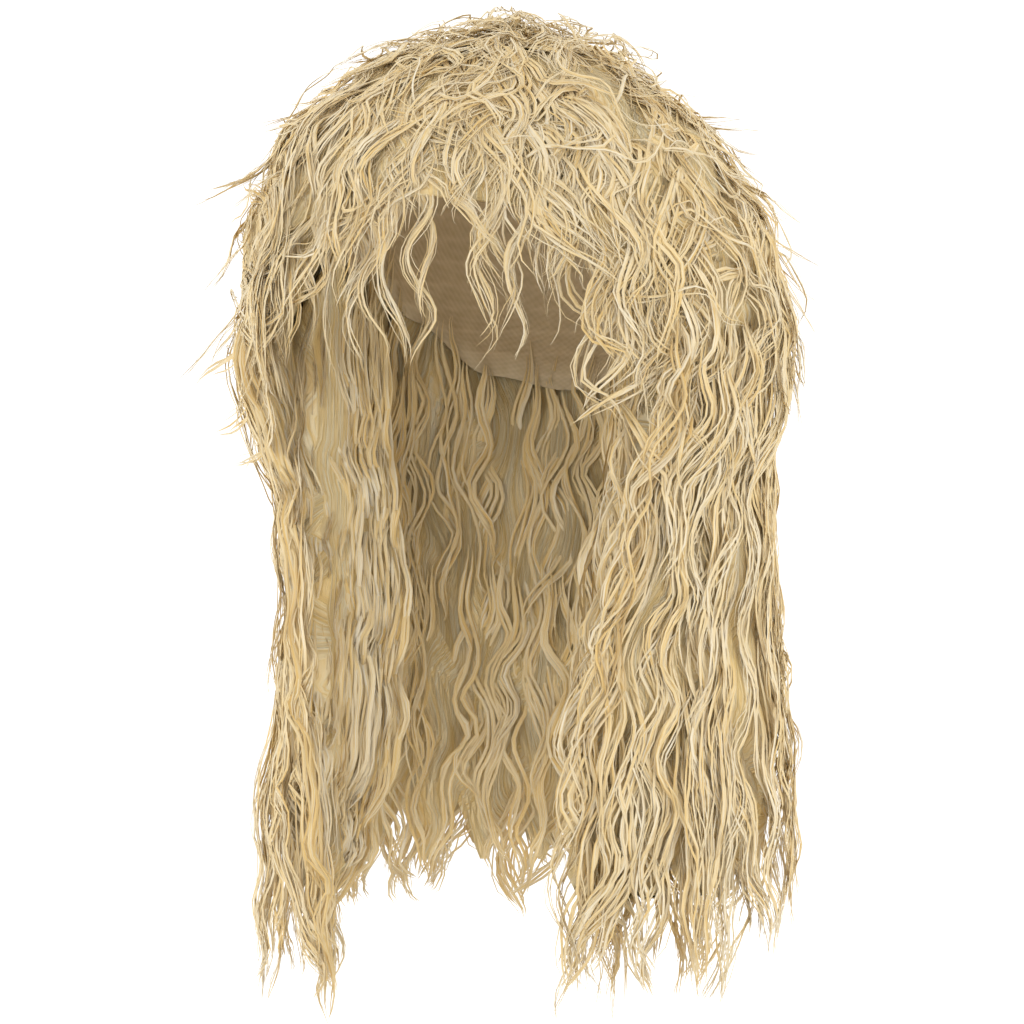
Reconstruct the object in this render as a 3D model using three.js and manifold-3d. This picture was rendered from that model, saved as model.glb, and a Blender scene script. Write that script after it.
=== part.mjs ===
// A long shaggy curly wig, as it stands on a head: a fabric cap, and hair in layers
// that overlap like shingles. Each layer is a backing with locks fused to it.
// Millimetres, +Z up. The face looks along -Y and the wearer's left is +X.
// The origin is where the crown of the head meets the inside of the cap.

import * as THREE from "three";
import { mergeVertices } from "three/addons/utils/BufferGeometryUtils.js";
import Module from "manifold-3d";

const wasm = await Module();
wasm.setup();

// The head that the cap fits. Depths are measured down from its crown.
const headBreadth = 156;
const headLength = 200;
const headWaist = 100; // depth of its widest level
const headRoundness = 2.3; // 2 would be an ellipse
const napeNarrowing = 0.2; // share of its radius lost at the nape
const napeDrop = 50; // depth of the nape below the widest level

// The cap
const capWall = 1.6;
const seatGap = 0.65; // between the cap and the hair that sits on it
const layerGap = 2.4; // between one layer of hair and the next, down the head
const sideGap = 0.2; // half of what lies between pieces side by side, in degrees

// The hair's outline
const hairTop = 31; // height above the crown
const hairBulk = 66; // how far the hair stands out from the side of the head
const outlineWaist = 120; // depth of the widest level
const shortDrop = 176; // depth where the short layers end
const longDrop = 440; // depth where the long locks end
const fringeDrop = 122; // depth where the fringe's backing ends
const curtainThickness = 56; // of the long hair
const fringeThickness = 9;
const crownOverhang = 9; // how far the crown stands out past the layers below it

// Locks
const lockCount = 20; // round the whole head
const ridgeHeight = 7; // of each lock on a layer's surface
const ridgeDrop = 2.2; // how far a lock reaches below the valleys beside it, in ridge heights
const curlSway = 2.6; // how far a lock sways to each side, in degrees round the head
const curlLength = 86; // of one whole wave, down the hair
const spikeLength = 46; // of the locks that stick out of the short layers
const spikeWidth = 17;
const tailLength = 52; // of the pointed ends of the long hair
const tailWidth = 30;
const fringeLockLength = 62;
const fringeLockWidth = 15;

// Where one layer ends and the next begins, in degrees round the head from the face
const fringeEdge = 48;
const sideEdge = 126;
const curtainEdge = 114;

// Round the head from the face to the nape. rim, crownSeat and layerSeat are depths on the
// cap, as shares of headWaist: the cap's own edge, and the lower edges of what the crown and
// the short layers sit on. bulk and, for the long hair, fall are shares of hairBulk,
// crownEdge of outlineWaist, and layerEdge of shortDrop.
const rounds = [
  { turn: 0, rim: 0.42, crownSeat: 0.28, layerSeat: 0.4, bulk: 0.36, fall: 0.36, crownEdge: 0.56, layerEdge: 0.8 },
  { turn: 30, rim: 0.45, crownSeat: 0.3, layerSeat: 0.42, bulk: 0.46, fall: 0.46, crownEdge: 0.6, layerEdge: 0.84 },
  { turn: 52, rim: 0.66, crownSeat: 0.36, layerSeat: 0.56, bulk: 0.72, fall: 0.62, crownEdge: 0.74, layerEdge: 0.9 },
  { turn: 75, rim: 0.98, crownSeat: 0.42, layerSeat: 0.72, bulk: 0.95, fall: 0.79, crownEdge: 0.82, layerEdge: 0.95 },
  { turn: 95, rim: 0.88, crownSeat: 0.45, layerSeat: 0.73, bulk: 1.02, fall: 0.96, crownEdge: 0.84, layerEdge: 0.96 },
  { turn: 120, rim: 1.14, crownSeat: 0.48, layerSeat: 0.86, bulk: 0.96, fall: 1.05, crownEdge: 0.86, layerEdge: 0.97 },
  { turn: 150, rim: 1.42, crownSeat: 0.5, layerSeat: 1.0, bulk: 0.72, fall: 0.82, crownEdge: 0.88, layerEdge: 0.99 },
  { turn: 180, rim: 1.5, crownSeat: 0.5, layerSeat: 1.04, bulk: 0.58, fall: 0.64, crownEdge: 0.88, layerEdge: 1.0 },
];

// Down the long hair. down is a share of longDrop, out a share of how far the long hair
// hangs out, thick a share of curtainThickness, and opens the degrees from the face to its
// free edge.
const curtainRows = [
  { down: 0.3, out: 0.83, thick: 0.86, opens: 60 },
  { down: 0.38, out: 0.85, thick: 0.86, opens: 60 },
  { down: 0.47, out: 0.86, thick: 0.86, opens: 57 },
  { down: 0.57, out: 0.855, thick: 0.93, opens: 52 },
  { down: 0.67, out: 0.88, thick: 0.95, opens: 44 },
  { down: 0.77, out: 0.91, thick: 0.9, opens: 39 },
  { down: 0.86, out: 0.93, thick: 0.75, opens: 36 },
  { down: 0.92, out: 0.91, thick: 0.4, opens: 35 },
];

const hairMaterial = new THREE.MeshStandardMaterial({ color: 0xd9be84, roughness: 0.55, metalness: 0 });
const capMaterial = new THREE.MeshStandardMaterial({ color: 0xc9ab74, roughness: 0.9, metalness: 0 });

// One column of a table at a place between its rows, eased from row to row.
function readTable(rows, by, at, column) {
  const last = rows.length - 1;
  if (at <= rows[0][by]) return rows[0][column];
  if (at >= rows[last][by]) return rows[last][column];
  const above = rows.findIndex((row) => row[by] > at);
  const [low, high] = [rows[above - 1], rows[above]];
  const share = THREE.MathUtils.smoothstep(at, low[by], high[by]);
  return THREE.MathUtils.lerp(low[column], high[column], share);
}

// The two halves of the head are alike, so turns past the nape read the table backwards.
function readRound(turn, column) {
  const folded = Math.abs(((turn + 180) % 360) - 180);
  return readTable(rounds, "turn", folded, column);
}

// A point at a turn round the head in degrees, a radius from its axis and a depth.
function place(turn, radius, depth) {
  const angle = THREE.MathUtils.degToRad(turn);
  return new THREE.Vector3(radius * Math.sin(angle), -radius * Math.cos(angle), -depth);
}

// The head's radius at its widest level.
function headRadius(turn) {
  const angle = THREE.MathUtils.degToRad(turn);
  return 1 / Math.hypot((2 * Math.sin(angle)) / headBreadth, (2 * Math.cos(angle)) / headLength);
}

// The head's surface, moved out by an offset, as a radius and a depth. lean runs from 0
// at the crown to 90 at the widest level and on down the nape.
const leanOfNape = 30;
function headSection(turn, lean, offset) {
  const widest = headRadius(turn);
  if (lean >= 90) {
    const down = (lean - 90) / leanOfNape;
    return { radius: widest * (1 - napeNarrowing * down * down) + offset, depth: headWaist + napeDrop * down };
  }
  const angle = THREE.MathUtils.degToRad(lean);
  const out = Math.sin(angle) ** (2 / headRoundness);
  const up = Math.cos(angle) ** (2 / headRoundness);
  const normal = new THREE.Vector2(
    out ** (headRoundness - 1) / widest,
    up ** (headRoundness - 1) / headWaist,
  ).normalize();
  return {
    radius: widest * out + offset * normal.x,
    depth: headWaist * (1 - up) - offset * normal.y,
  };
}

function leanAtDepth(depth) {
  if (depth >= headWaist) return 90 + ((depth - headWaist) / napeDrop) * leanOfNape;
  const up = 1 - depth / headWaist;
  return THREE.MathUtils.radToDeg(Math.acos(up ** (headRoundness / 2)));
}

// How far the hair's outline reaches at its widest level.
function outlineReach(turn) {
  return headRadius(turn) + hairBulk * readRound(turn, "bulk");
}

// The outline's radius at a depth: a dome above the widest level, tucked in a little below it.
const tuckUnder = 0.07;
function outlineRadius(turn, depth) {
  const reach = outlineReach(turn);
  if (depth < outlineWaist) {
    const up = (outlineWaist - depth) / (outlineWaist + hairTop);
    return reach * Math.sqrt(Math.max(0, 1 - up * up));
  }
  const down = (depth - outlineWaist) / (shortDrop - outlineWaist);
  return reach * (1 - tuckUnder * down * down);
}

// The turn of a lock, which sways from side to side on its way down.
function swayed(turn, depth, share = 1) {
  return turn + share * curlSway * Math.sin((2 * Math.PI * depth) / curlLength + turn / 23);
}

// Height of the locks above the valleys between them. Some locks are fuller than others.
const ridgeVariety = 0.3;
function ridge(turn) {
  const lock = (turn * lockCount) / 360;
  const full = 1 + ridgeVariety * Math.sin(2.4 * Math.round(lock));
  return ridgeHeight * full * (0.5 + 0.5 * Math.cos(2 * Math.PI * lock));
}

function geometryOf(points, triangles) {
  const corners = triangles
    .map((triangle) => triangle.map((index) => points[index]))
    .filter(([a, b, c]) => a.distanceTo(b) > 1e-4 && b.distanceTo(c) > 1e-4 && c.distanceTo(a) > 1e-4);
  return new THREE.BufferGeometry().setFromPoints(corners.flat());
}

// A closed surface through sections that each have the same number of points. outlines
// gives the first and last section in the plane, for their end faces; without it the
// sections close into a ring.
function loft(sections, outlines) {
  const size = sections[0].length;
  const points = sections.flat();
  const triangles = [];
  const spans = outlines ? sections.length - 1 : sections.length;
  for (let i = 0; i < spans; i++) {
    const [here, next] = [i * size, ((i + 1) % sections.length) * size];
    for (let j = 0; j < size - 1; j++) {
      triangles.push([here + j, here + j + 1, next + j + 1], [here + j, next + j + 1, next + j]);
    }
    // Split the other way, like the face of the piece above that this one lies along.
    const last = size - 1;
    triangles.push([here + last, here, next + last], [here, next, next + last]);
  }
  if (outlines) {
    const ends = [
      { outline: outlines[0], first: 0, sign: 1 },
      { outline: outlines[1], first: spans * size, sign: -1 },
    ];
    for (const { outline, first, sign } of ends) {
      for (const [a, b, c] of THREE.ShapeUtils.triangulateShape(outline, [])) {
        const area = THREE.ShapeUtils.area([outline[a], outline[b], outline[c]]);
        const corners = area * sign > 0 ? [a, b, c] : [a, c, b];
        triangles.push(corners.map((corner) => first + corner));
      }
    }
  }
  return geometryOf(points, triangles);
}

// A lock from its thick root to its pointed end. It lies flat against the head, so its
// section is an ellipse whose short axis points away from the head's axis.
const lockSides = 5;
const lockSteps = 5;
const lockFlatness = 0.55;
function lockGeometry(path, width) {
  const curve = new THREE.CatmullRomCurve3(path);
  const points = [];
  for (let step = 0; step < lockSteps; step++) {
    const along = step / lockSteps;
    const centre = curve.getPoint(along);
    const tangent = curve.getTangent(along);
    const outward = new THREE.Vector3(centre.x, centre.y, 0).normalize();
    const across = new THREE.Vector3().crossVectors(tangent, outward).normalize();
    const away = new THREE.Vector3().crossVectors(across, tangent);
    const half = (width / 2) * Math.sqrt(1 - along);
    for (let side = 0; side < lockSides; side++) {
      const angle = (2 * Math.PI * side) / lockSides;
      points.push(
        centre
          .clone()
          .addScaledVector(across, half * Math.cos(angle))
          .addScaledVector(away, half * lockFlatness * Math.sin(angle)),
      );
    }
  }
  const [root, tip] = [points.length, points.length + 1];
  points.push(path[0], path[path.length - 1]);
  const triangles = [];
  const last = (lockSteps - 1) * lockSides;
  for (let side = 0; side < lockSides; side++) {
    const next = (side + 1) % lockSides;
    triangles.push([root, side, next], [tip, last + next, last + side]);
    for (let ring = 0; ring < last; ring += lockSides) {
      triangles.push([ring + side, ring + lockSides + next, ring + next]);
      triangles.push([ring + side, ring + lockSides + side, ring + lockSides + next]);
    }
  }
  return geometryOf(points, triangles);
}

// Geometry to a solid that can be joined, and back.
function solidOf(geometry) {
  const bare = new THREE.BufferGeometry().setAttribute("position", geometry.getAttribute("position"));
  const merged = mergeVertices(bare, 1e-4);
  return new wasm.Manifold(
    new wasm.Mesh({
      numProp: 3,
      vertProperties: merged.getAttribute("position").array,
      triVerts: new Uint32Array(merged.index.array),
    }),
  );
}

// Joins locks to a backing. Small hollows that they seal between them are filled.
function fused(backing, locks) {
  const solid = locks.reduce((whole, lock) => whole.add(solidOf(lock)), solidOf(backing));
  const { vertProperties, triVerts } = solid.getMesh();
  const geometry = new THREE.BufferGeometry();
  geometry.setAttribute("position", new THREE.BufferAttribute(vertProperties, 3));
  geometry.setIndex(shellsOf(vertProperties, triVerts).filter(facesOut).flat());
  return geometry;

  function facesOut(shell) {
    const [a, b, c] = [new THREE.Vector3(), new THREE.Vector3(), new THREE.Vector3()];
    let volume = 0;
    for (let i = 0; i < shell.length; i += 3) {
      [a, b, c].forEach((corner, k) => corner.fromArray(vertProperties, 3 * shell[i + k]));
      volume += a.dot(b.cross(c));
    }
    return volume > 0;
  }
}

// The triangles of each closed surface in a mesh.
function shellsOf(vertProperties, triVerts) {
  const parent = Array.from({ length: vertProperties.length / 3 }, (_, i) => i);
  const rootOf = (i) => {
    while (parent[i] !== i) i = parent[i] = parent[parent[i]];
    return i;
  };
  for (let i = 0; i < triVerts.length; i += 3) {
    parent[rootOf(triVerts[i + 1])] = rootOf(triVerts[i]);
    parent[rootOf(triVerts[i + 2])] = rootOf(triVerts[i]);
  }
  const shells = new Map();
  for (let i = 0; i < triVerts.length; i += 3) {
    const root = rootOf(triVerts[i]);
    if (!shells.has(root)) shells.set(root, []);
    shells.get(root).push(...triVerts.slice(i, i + 3));
  }
  return [...shells.values()];
}

// A piece whose section at each turn is a loop of { radius, depth, turn }.
function sweptPiece(turns, loopAt, ring = false) {
  const loops = turns.map(loopAt);
  const sections = loops.map((loop) => loop.map((spot) => place(spot.turn, spot.radius, spot.depth)));
  const flat = (loop) => loop.map((spot) => new THREE.Vector2(spot.radius, -spot.depth));
  return loft(sections, ring ? null : [flat(loops[0]), flat(loops[loops.length - 1])]);
}

// Turns three to a lock, the same for every piece, so that faces between pieces match.
function turnsBetween(from, to) {
  const step = 360 / (3 * lockCount);
  const turns = [from];
  for (let turn = Math.ceil((from + step / 4) / step) * step; turn < to - step / 4; turn += step) turns.push(turn);
  return [...turns, to];
}

// Rows on the cap's outside between two depths, from the lower to the upper.
function seatRows(turn, upper, lower, steps) {
  const [high, low] = [leanAtDepth(upper), leanAtDepth(lower)];
  return Array.from({ length: steps + 1 }, (_, step) => {
    const lean = THREE.MathUtils.lerp(low, high, step / steps);
    return { ...headSection(turn, lean, capWall + seatGap), turn };
  });
}

// The cap: a shell of even wall from the crown to its rim.
function capGeometry() {
  const stations = 30;
  const rows = 7;
  const turns = Array.from({ length: stations }, (_, i) => (360 * i) / stations);
  return sweptPiece(
    turns,
    (turn) => {
      const rimLean = leanAtDepth(headWaist * readRound(turn, "rim"));
      const leans = Array.from({ length: rows + 1 }, (_, row) => (rimLean * row) / rows);
      const outside = leans.map((lean) => headSection(turn, lean, capWall));
      const inside = leans.map((lean) => headSection(turn, lean, 0)).reverse();
      return [...outside, ...inside].map((spot) => ({ ...spot, turn }));
    },
    true,
  );
}

// Depths of the edges between layers, at a turn.
const crownSeatDepth = (turn) => headWaist * readRound(turn, "crownSeat");
const layerSeatDepth = (turn) => headWaist * readRound(turn, "layerSeat");
const rimDepth = (turn) => headWaist * readRound(turn, "rim");
const crownEdgeDepth = (turn) => outlineWaist * readRound(turn, "crownEdge");
const layerEdgeDepth = (turn) => shortDrop * readRound(turn, "layerEdge");

// Outer faces of the layers. Each one runs under the edge of the layer above.
const layerRadius = (turn, depth) => outlineRadius(turn, depth) - crownOverhang;
function curtainRadius(turn, depth) {
  const reach = headRadius(turn) + hairBulk * readRound(turn, "fall");
  return reach * readTable(curtainRows, "down", depth / longDrop, "out");
}

// The face between a layer and the one below it is a cone from the cap to the outline, so
// that it is the same for both. These give its depth at a turn and a radius.
function skirtDepth(turn, radius, seatDepth, edgeRadius, edgeDepth) {
  const seatRadius = headSection(turn, leanAtDepth(seatDepth), capWall + seatGap).radius;
  return seatDepth + ((radius - seatRadius) * (edgeDepth - seatDepth)) / (edgeRadius - seatRadius);
}
function crownSkirt(turn, radius) {
  const edge = crownEdgeDepth(turn);
  return skirtDepth(turn, radius, crownSeatDepth(turn), outlineRadius(turn, edge), edge);
}
function layerSkirt(turn, radius) {
  const edge = layerEdgeDepth(turn);
  return skirtDepth(turn, radius, layerSeatDepth(turn), layerRadius(turn, edge), edge);
}

// A row of pointed locks that leave a layer's edge and lie outside the layer below.
function spikes({ turns, edgeDepth, edgeRadius, below, flick }) {
  return turns.map((turn, index) => {
    const variety = 1 + 0.28 * Math.sin(5.1 * index + turn / 40);
    const depth = edgeDepth(turn);
    const half = (spikeWidth / 2) * lockFlatness;
    const rise = 0.35 * spikeLength;
    const drop = 0.65 * spikeLength * variety;
    const clear = (share) => below(turn, depth + share * drop) + ridge(turn) + half + layerGap;
    const path = [
      place(swayed(turn, depth - rise), edgeRadius(turn, depth - rise) - half, depth - rise),
      place(swayed(turn, depth), Math.max(edgeRadius(turn, depth), clear(0)), depth),
      place(swayed(turn, depth + drop / 2), clear(0.5) + 0.4 * flick * variety, depth + drop / 2),
      place(swayed(turn, depth + drop), clear(1) + flick * variety, depth + drop),
    ];
    return lockGeometry(path, spikeWidth);
  });
}

function lockTurns(from, to, count) {
  return Array.from({ length: count }, (_, i) => from + ((to - from) * (i + 0.5)) / count);
}

// The sway of a piece's surface fades towards its ends and edges, so that these lie flat
// along its neighbours.
const faded = (share) => Math.sin(Math.PI * THREE.MathUtils.clamp(share, 0, 1));
const rowsFrom = (from, to, rows) => Array.from({ length: rows + 1 }, (_, row) => from + ((to - from) * row) / rows);

// The crown: a dome of hair whose locks run down from the top of the head.
const crownRows = 6;
function crownGeometry() {
  const backing = sweptPiece(
    turnsBetween(0, 360).slice(0, -1),
    (turn) => {
      const rise = outlineWaist + hairTop;
      const lastLean = Math.acos((outlineWaist - crownEdgeDepth(turn)) / rise);
      const outer = rowsFrom(0, 1, crownRows).map((share) => {
        const depth = outlineWaist - rise * Math.cos(lastLean * share);
        const radius = outlineRadius(turn, depth) + share * ridge(turn);
        if (share === 1) return { radius, depth: crownSkirt(turn, radius), turn };
        return { radius, depth, turn: swayed(turn, depth, faded(share)) };
      });
      return [...outer, ...seatRows(turn, 0, crownSeatDepth(turn), crownRows + 1)];
    },
    true,
  );
  const edgeSpikes = spikes({
    turns: lockTurns(fringeEdge, 360 - fringeEdge, 14),
    edgeDepth: crownEdgeDepth,
    edgeRadius: outlineRadius,
    below: layerRadius,
    flick: 11,
  });
  return fused(backing, [...edgeSpikes, ...tufts()]);
}

// Loose locks that stand up from the dome and fall outwards again.
const tuftCount = 10;
const tuftRise = 9;
function tufts() {
  return lockTurns(0, 360, tuftCount).map((turn, index) => {
    const start = (index % 2 ? -0.35 : -0.7) * hairTop;
    const drop = 0.7 * spikeLength;
    const onDome = (share, rise) => {
      const depth = start + share * drop;
      return place(swayed(turn + 9 * share, depth), outlineRadius(turn, depth) + rise, depth);
    };
    const path = [onDome(0, -8), onDome(0.3, tuftRise * 0.7), onDome(0.65, tuftRise), onDome(1, tuftRise * 1.4)];
    return lockGeometry(path, 0.8 * spikeWidth);
  });
}

// A short layer: a skirt of hair that sits on the cap below the crown.
const layerRows = 4;
function layerGeometry(from, to, spikeCount) {
  const [start, end] = [from + sideGap, to - sideGap];
  const backing = sweptPiece(turnsBetween(start, end), (turn) => {
    const across = faded((turn - start) / (end - start));
    const outside = (depth) => layerRadius(turn, depth) + ridge(turn);
    const top = crownSkirt(turn, outside(crownEdgeDepth(turn))) + layerGap;
    const bottom = layerSkirt(turn, outside(layerEdgeDepth(turn)));
    const outer = rowsFrom(0, 1, layerRows).map((share) => {
      const depth = THREE.MathUtils.lerp(top, bottom, share);
      const level = share === 1 ? layerEdgeDepth(turn) : share === 0 ? crownEdgeDepth(turn) : depth;
      return { radius: outside(level), depth, turn: swayed(turn, depth, Math.min(across, faded(share))) };
    });
    return [...outer, ...seatRows(turn, crownSeatDepth(turn) + layerGap, layerSeatDepth(turn), layerRows)];
  });
  const locks = spikes({
    turns: lockTurns(from, to, spikeCount),
    edgeDepth: layerEdgeDepth,
    edgeRadius: layerRadius,
    below: curtainRadius,
    flick: 13,
  });
  return fused(backing, locks);
}

// The fringe: a thin layer over the forehead that hangs from the cap's front edge, and
// separate wavy locks below it.
const fringeLockCount = 9;
function fringeGeometry() {
  const [start, end] = [-fringeEdge + sideGap, fringeEdge - sideGap];
  const outside = (turn, depth) => layerRadius(turn, depth) + 0.5 * ridge(turn);
  const backing = sweptPiece(turnsBetween(start, end), (turn) => {
    const topRadius = outside(turn, crownEdgeDepth(turn));
    const top = crownSkirt(turn, topRadius) + layerGap;
    const bottom = fringeDrop * readRound(turn, "layerEdge") + ridgeDrop * ridge(turn);
    const depths = rowsFrom(top, bottom, 2);
    const outer = depths.map((depth, row) => ({ radius: row ? outside(turn, depth) : topRadius, depth, turn }));
    const inner = depths
      .slice(1)
      .reverse()
      .map((depth) => ({ radius: outside(turn, depth) - fringeThickness, depth, turn }));
    const seat = seatRows(turn, crownSeatDepth(turn) + layerGap, layerSeatDepth(turn), layerRows);
    return [...outer, ...inner, ...seat];
  });
  const locks = lockTurns(0.9 * start, 0.9 * end, fringeLockCount).map((turn, index) => {
    const variety = 1 + 0.3 * Math.sin(3.7 * index + 1);
    const edge = fringeDrop * readRound(turn, "layerEdge");
    const path = [-0.3, 0, 0.3, 0.65, 1].map((down) => {
      const depth = edge + down * fringeLockLength * variety;
      const radius = outside(turn, Math.min(depth, outlineWaist)) - fringeThickness / 2;
      return place(swayed(turn, depth, 1.5), radius, depth);
    });
    return lockGeometry(path, fringeLockWidth);
  });
  return fused(backing, locks);
}

// The long hair: a curtain from the cap's lower edge, ending in pointed tails. turnAt gives
// the turn at a share of its width and a depth.
function curtainGeometry(turnAt, shares, tailCount) {
  const spot = (share, depth, radius, sway) => {
    const turn = turnAt(share, depth);
    const drop = depth === bottom ? ridgeDrop * ridge(turn) : 0;
    return { radius: radius(turn, depth), depth: depth + drop, turn: swayed(turn, depth, sway) };
  };
  const outside = (turn, depth) => curtainRadius(turn, depth) + ridge(turn);
  const inside = (turn, depth) =>
    curtainRadius(turn, depth) - curtainThickness * readTable(curtainRows, "down", depth / longDrop, "thick");
  const lowerDepths = curtainRows.map((row) => row.down * longDrop).filter((depth) => depth > 1.05 * shortDrop);
  const bottom = lowerDepths[lowerDepths.length - 1];
  const sections = shares.map((share) => {
    const seatTurn = turnAt(share, 0);
    const sway = faded(share);
    const outer = lowerDepths.map((depth) => spot(share, depth, outside, sway));
    const inner = lowerDepths.map((depth) => spot(share, depth, inside, sway)).reverse();
    const topRadius = outside(seatTurn, layerEdgeDepth(seatTurn));
    const top = { radius: topRadius, depth: layerSkirt(seatTurn, topRadius) + layerGap, turn: seatTurn };
    const seat = seatRows(seatTurn, layerSeatDepth(seatTurn) + layerGap, rimDepth(seatTurn), 3);
    return [top, ...outer, ...inner, ...seat];
  });
  const backing = loft(
    sections.map((loop) => loop.map((at) => place(at.turn, at.radius, at.depth))),
    [sections[0], sections[sections.length - 1]].map((loop) =>
      loop.map((at) => new THREE.Vector2(at.radius, -at.depth)),
    ),
  );
  const tails = lockTurns(0, 1, tailCount).map((share, index) => {
    const variety = 1 + 0.3 * Math.sin(4.3 * index + 9 * turnAt(0, 0));
    const middle = (turn, depth) => (outside(turn, depth) + inside(turn, depth)) / 2;
    const path = [-0.4, 0, 0.4, 0.75, 1].map((down) => {
      const at = spot(share, bottom + down * tailLength * variety, middle, faded(share));
      return place(at.turn, at.radius, at.depth);
    });
    return lockGeometry(path, tailWidth);
  });
  return fused(backing, tails);
}

// The turn of the long hair's front edge at a depth.
const openTurn = (depth) => readTable(curtainRows, "down", depth / longDrop, "opens");
const leftTurn = (share, depth) =>
  THREE.MathUtils.lerp(openTurn(depth), curtainEdge - sideGap, share);
const rightTurn = (share, depth) => 360 - leftTurn(1 - share, depth);
const backTurn = (share) => THREE.MathUtils.lerp(curtainEdge + sideGap, 360 - curtainEdge - sideGap, share);
// The shares of a curtain's width at which its turn, at the cap, is one that other pieces use.
const sharesBetween = (from, to) => turnsBetween(from, to).map((turn) => (turn - from) / (to - from));
const frontTurn = openTurn(0);

const group = new THREE.Group();
function add(name, geometry, material = hairMaterial) {
  geometry.computeVertexNormals();
  const mesh = new THREE.Mesh(geometry, material);
  mesh.name = name;
  group.add(mesh);
}

add("wig_cap", capGeometry(), capMaterial);
add("crown_hair", crownGeometry());
add("fringe", fringeGeometry());
add("side_layer_left", layerGeometry(fringeEdge, sideEdge, 6));
add("side_layer_right", layerGeometry(360 - sideEdge, 360 - fringeEdge, 6));
add("back_layer", layerGeometry(sideEdge, 360 - sideEdge, 8));
add("long_hair_left", curtainGeometry(leftTurn, sharesBetween(frontTurn, curtainEdge - sideGap), 5));
add("long_hair_right", curtainGeometry(rightTurn, sharesBetween(360 - curtainEdge + sideGap, 360 - frontTurn), 5));
add("long_hair_back", curtainGeometry(backTurn, sharesBetween(curtainEdge + sideGap, 360 - curtainEdge - sideGap), 9));

export default group;
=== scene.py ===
# A long curly wig as it is worn: wavy locks in layers over a fabric cap.
# Metres, +Z up, the front looks along -Y. The origin is the top of the cap's inside.

import math

import bmesh
import bpy
import numpy as np
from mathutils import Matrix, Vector


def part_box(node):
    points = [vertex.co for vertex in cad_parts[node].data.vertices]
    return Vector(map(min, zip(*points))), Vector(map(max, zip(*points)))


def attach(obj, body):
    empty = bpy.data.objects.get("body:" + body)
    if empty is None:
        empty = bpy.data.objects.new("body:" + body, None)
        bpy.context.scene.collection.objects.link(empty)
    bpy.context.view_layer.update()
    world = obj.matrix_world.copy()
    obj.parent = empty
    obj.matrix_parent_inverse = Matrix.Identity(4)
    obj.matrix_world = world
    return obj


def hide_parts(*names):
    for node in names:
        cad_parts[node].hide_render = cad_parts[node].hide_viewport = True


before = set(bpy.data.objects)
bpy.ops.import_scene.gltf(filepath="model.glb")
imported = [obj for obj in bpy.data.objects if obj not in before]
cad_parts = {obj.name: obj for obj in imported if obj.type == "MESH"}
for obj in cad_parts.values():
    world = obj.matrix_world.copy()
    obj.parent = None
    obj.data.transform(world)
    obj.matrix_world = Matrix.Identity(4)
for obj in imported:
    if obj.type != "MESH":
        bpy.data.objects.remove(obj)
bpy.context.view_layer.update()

# The cap and the hair's outline, as in the CAD model
CAP_BREADTH = 0.156
CAP_LENGTH = 0.2
CAP_WAIST = 0.1
CAP_ROUNDNESS = 2.3
NAPE_DROP = 0.05
NAPE_NARROWING = 0.2
HAIR_TOP = 0.031
HAIR_BULK = 0.066
OUTLINE_WAIST = 0.12
SHORT_DROP = 0.176
LONG_DROP = 0.44
CURTAIN_THICKNESS = 0.056
TIPS_DROP = -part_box("long_hair_left")[0].z
FRINGE_EDGE = 48  # degrees from the front to where the fringe ends
SIDE_EDGE = 126  # and to where the side layers end
CURTAIN_EDGE = 114  # and to where the long hair at the sides ends

# Round the cap from the front to the nape. rim and the seats are shares of CAP_WAIST, bulk
# and the long hair's fall of HAIR_BULK, crown_edge of OUTLINE_WAIST and edge of SHORT_DROP.
ROUNDS = np.array(
    [
        (0, 0.42, 0.28, 0.40, 0.36, 0.36, 0.56, 0.80),
        (30, 0.45, 0.30, 0.42, 0.46, 0.46, 0.60, 0.84),
        (52, 0.66, 0.36, 0.56, 0.72, 0.62, 0.74, 0.90),
        (75, 0.98, 0.42, 0.72, 0.95, 0.79, 0.82, 0.95),
        (95, 0.88, 0.45, 0.73, 1.02, 0.96, 0.84, 0.96),
        (120, 1.14, 0.48, 0.86, 0.96, 1.05, 0.86, 0.97),
        (150, 1.42, 0.50, 1.00, 0.72, 0.82, 0.88, 0.99),
        (180, 1.50, 0.50, 1.04, 0.58, 0.64, 0.88, 1.00),
    ]
)
ROUND_COLUMNS = {"rim": 1, "crown_seat": 2, "layer_seat": 3, "bulk": 4, "fall": 5, "crown_edge": 6, "edge": 7}

# Down the long hair. down is a share of LONG_DROP, out of how far it hangs out, thick of
# CURTAIN_THICKNESS, and opens the degrees from the front to the free edge.
CURTAIN = np.array(
    [
        (0.30, 0.83, 0.86, 60),
        (0.38, 0.85, 0.86, 60),
        (0.47, 0.86, 0.86, 57),
        (0.57, 0.855, 0.93, 52),
        (0.67, 0.88, 0.95, 44),
        (0.77, 0.91, 0.90, 39),
        (0.86, 0.93, 0.75, 36),
        (0.92, 0.91, 0.40, 35),
    ]
)
CURTAIN_COLUMNS = {"out": 1, "thick": 2, "opens": 3}

# Hair
TONES = 24  # shades of strand
STEP = 0.007  # between points along a strand of short hair
LONG_STEP = 0.0071  # and of long hair
FINE_STEP = 0.0055  # and of the loose locks and the fringe
CURL_STEP = 0.0036  # and of the small curls
MASS_DEPTH = 0.0042  # of the mass under the locks, below the outline
LOCK_HEIGHT = -0.0022  # of the locks over the outline
LONG_HEIGHT = 0.002  # and over the long hair's
TOP_SETTLES = 0.002  # by which the hair on top lies lower than that
DOME_RADIUS = 0.14  # of the hair on top, to space things round it

rng = np.random.default_rng(7)


# Tables and the hair's shape


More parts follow.
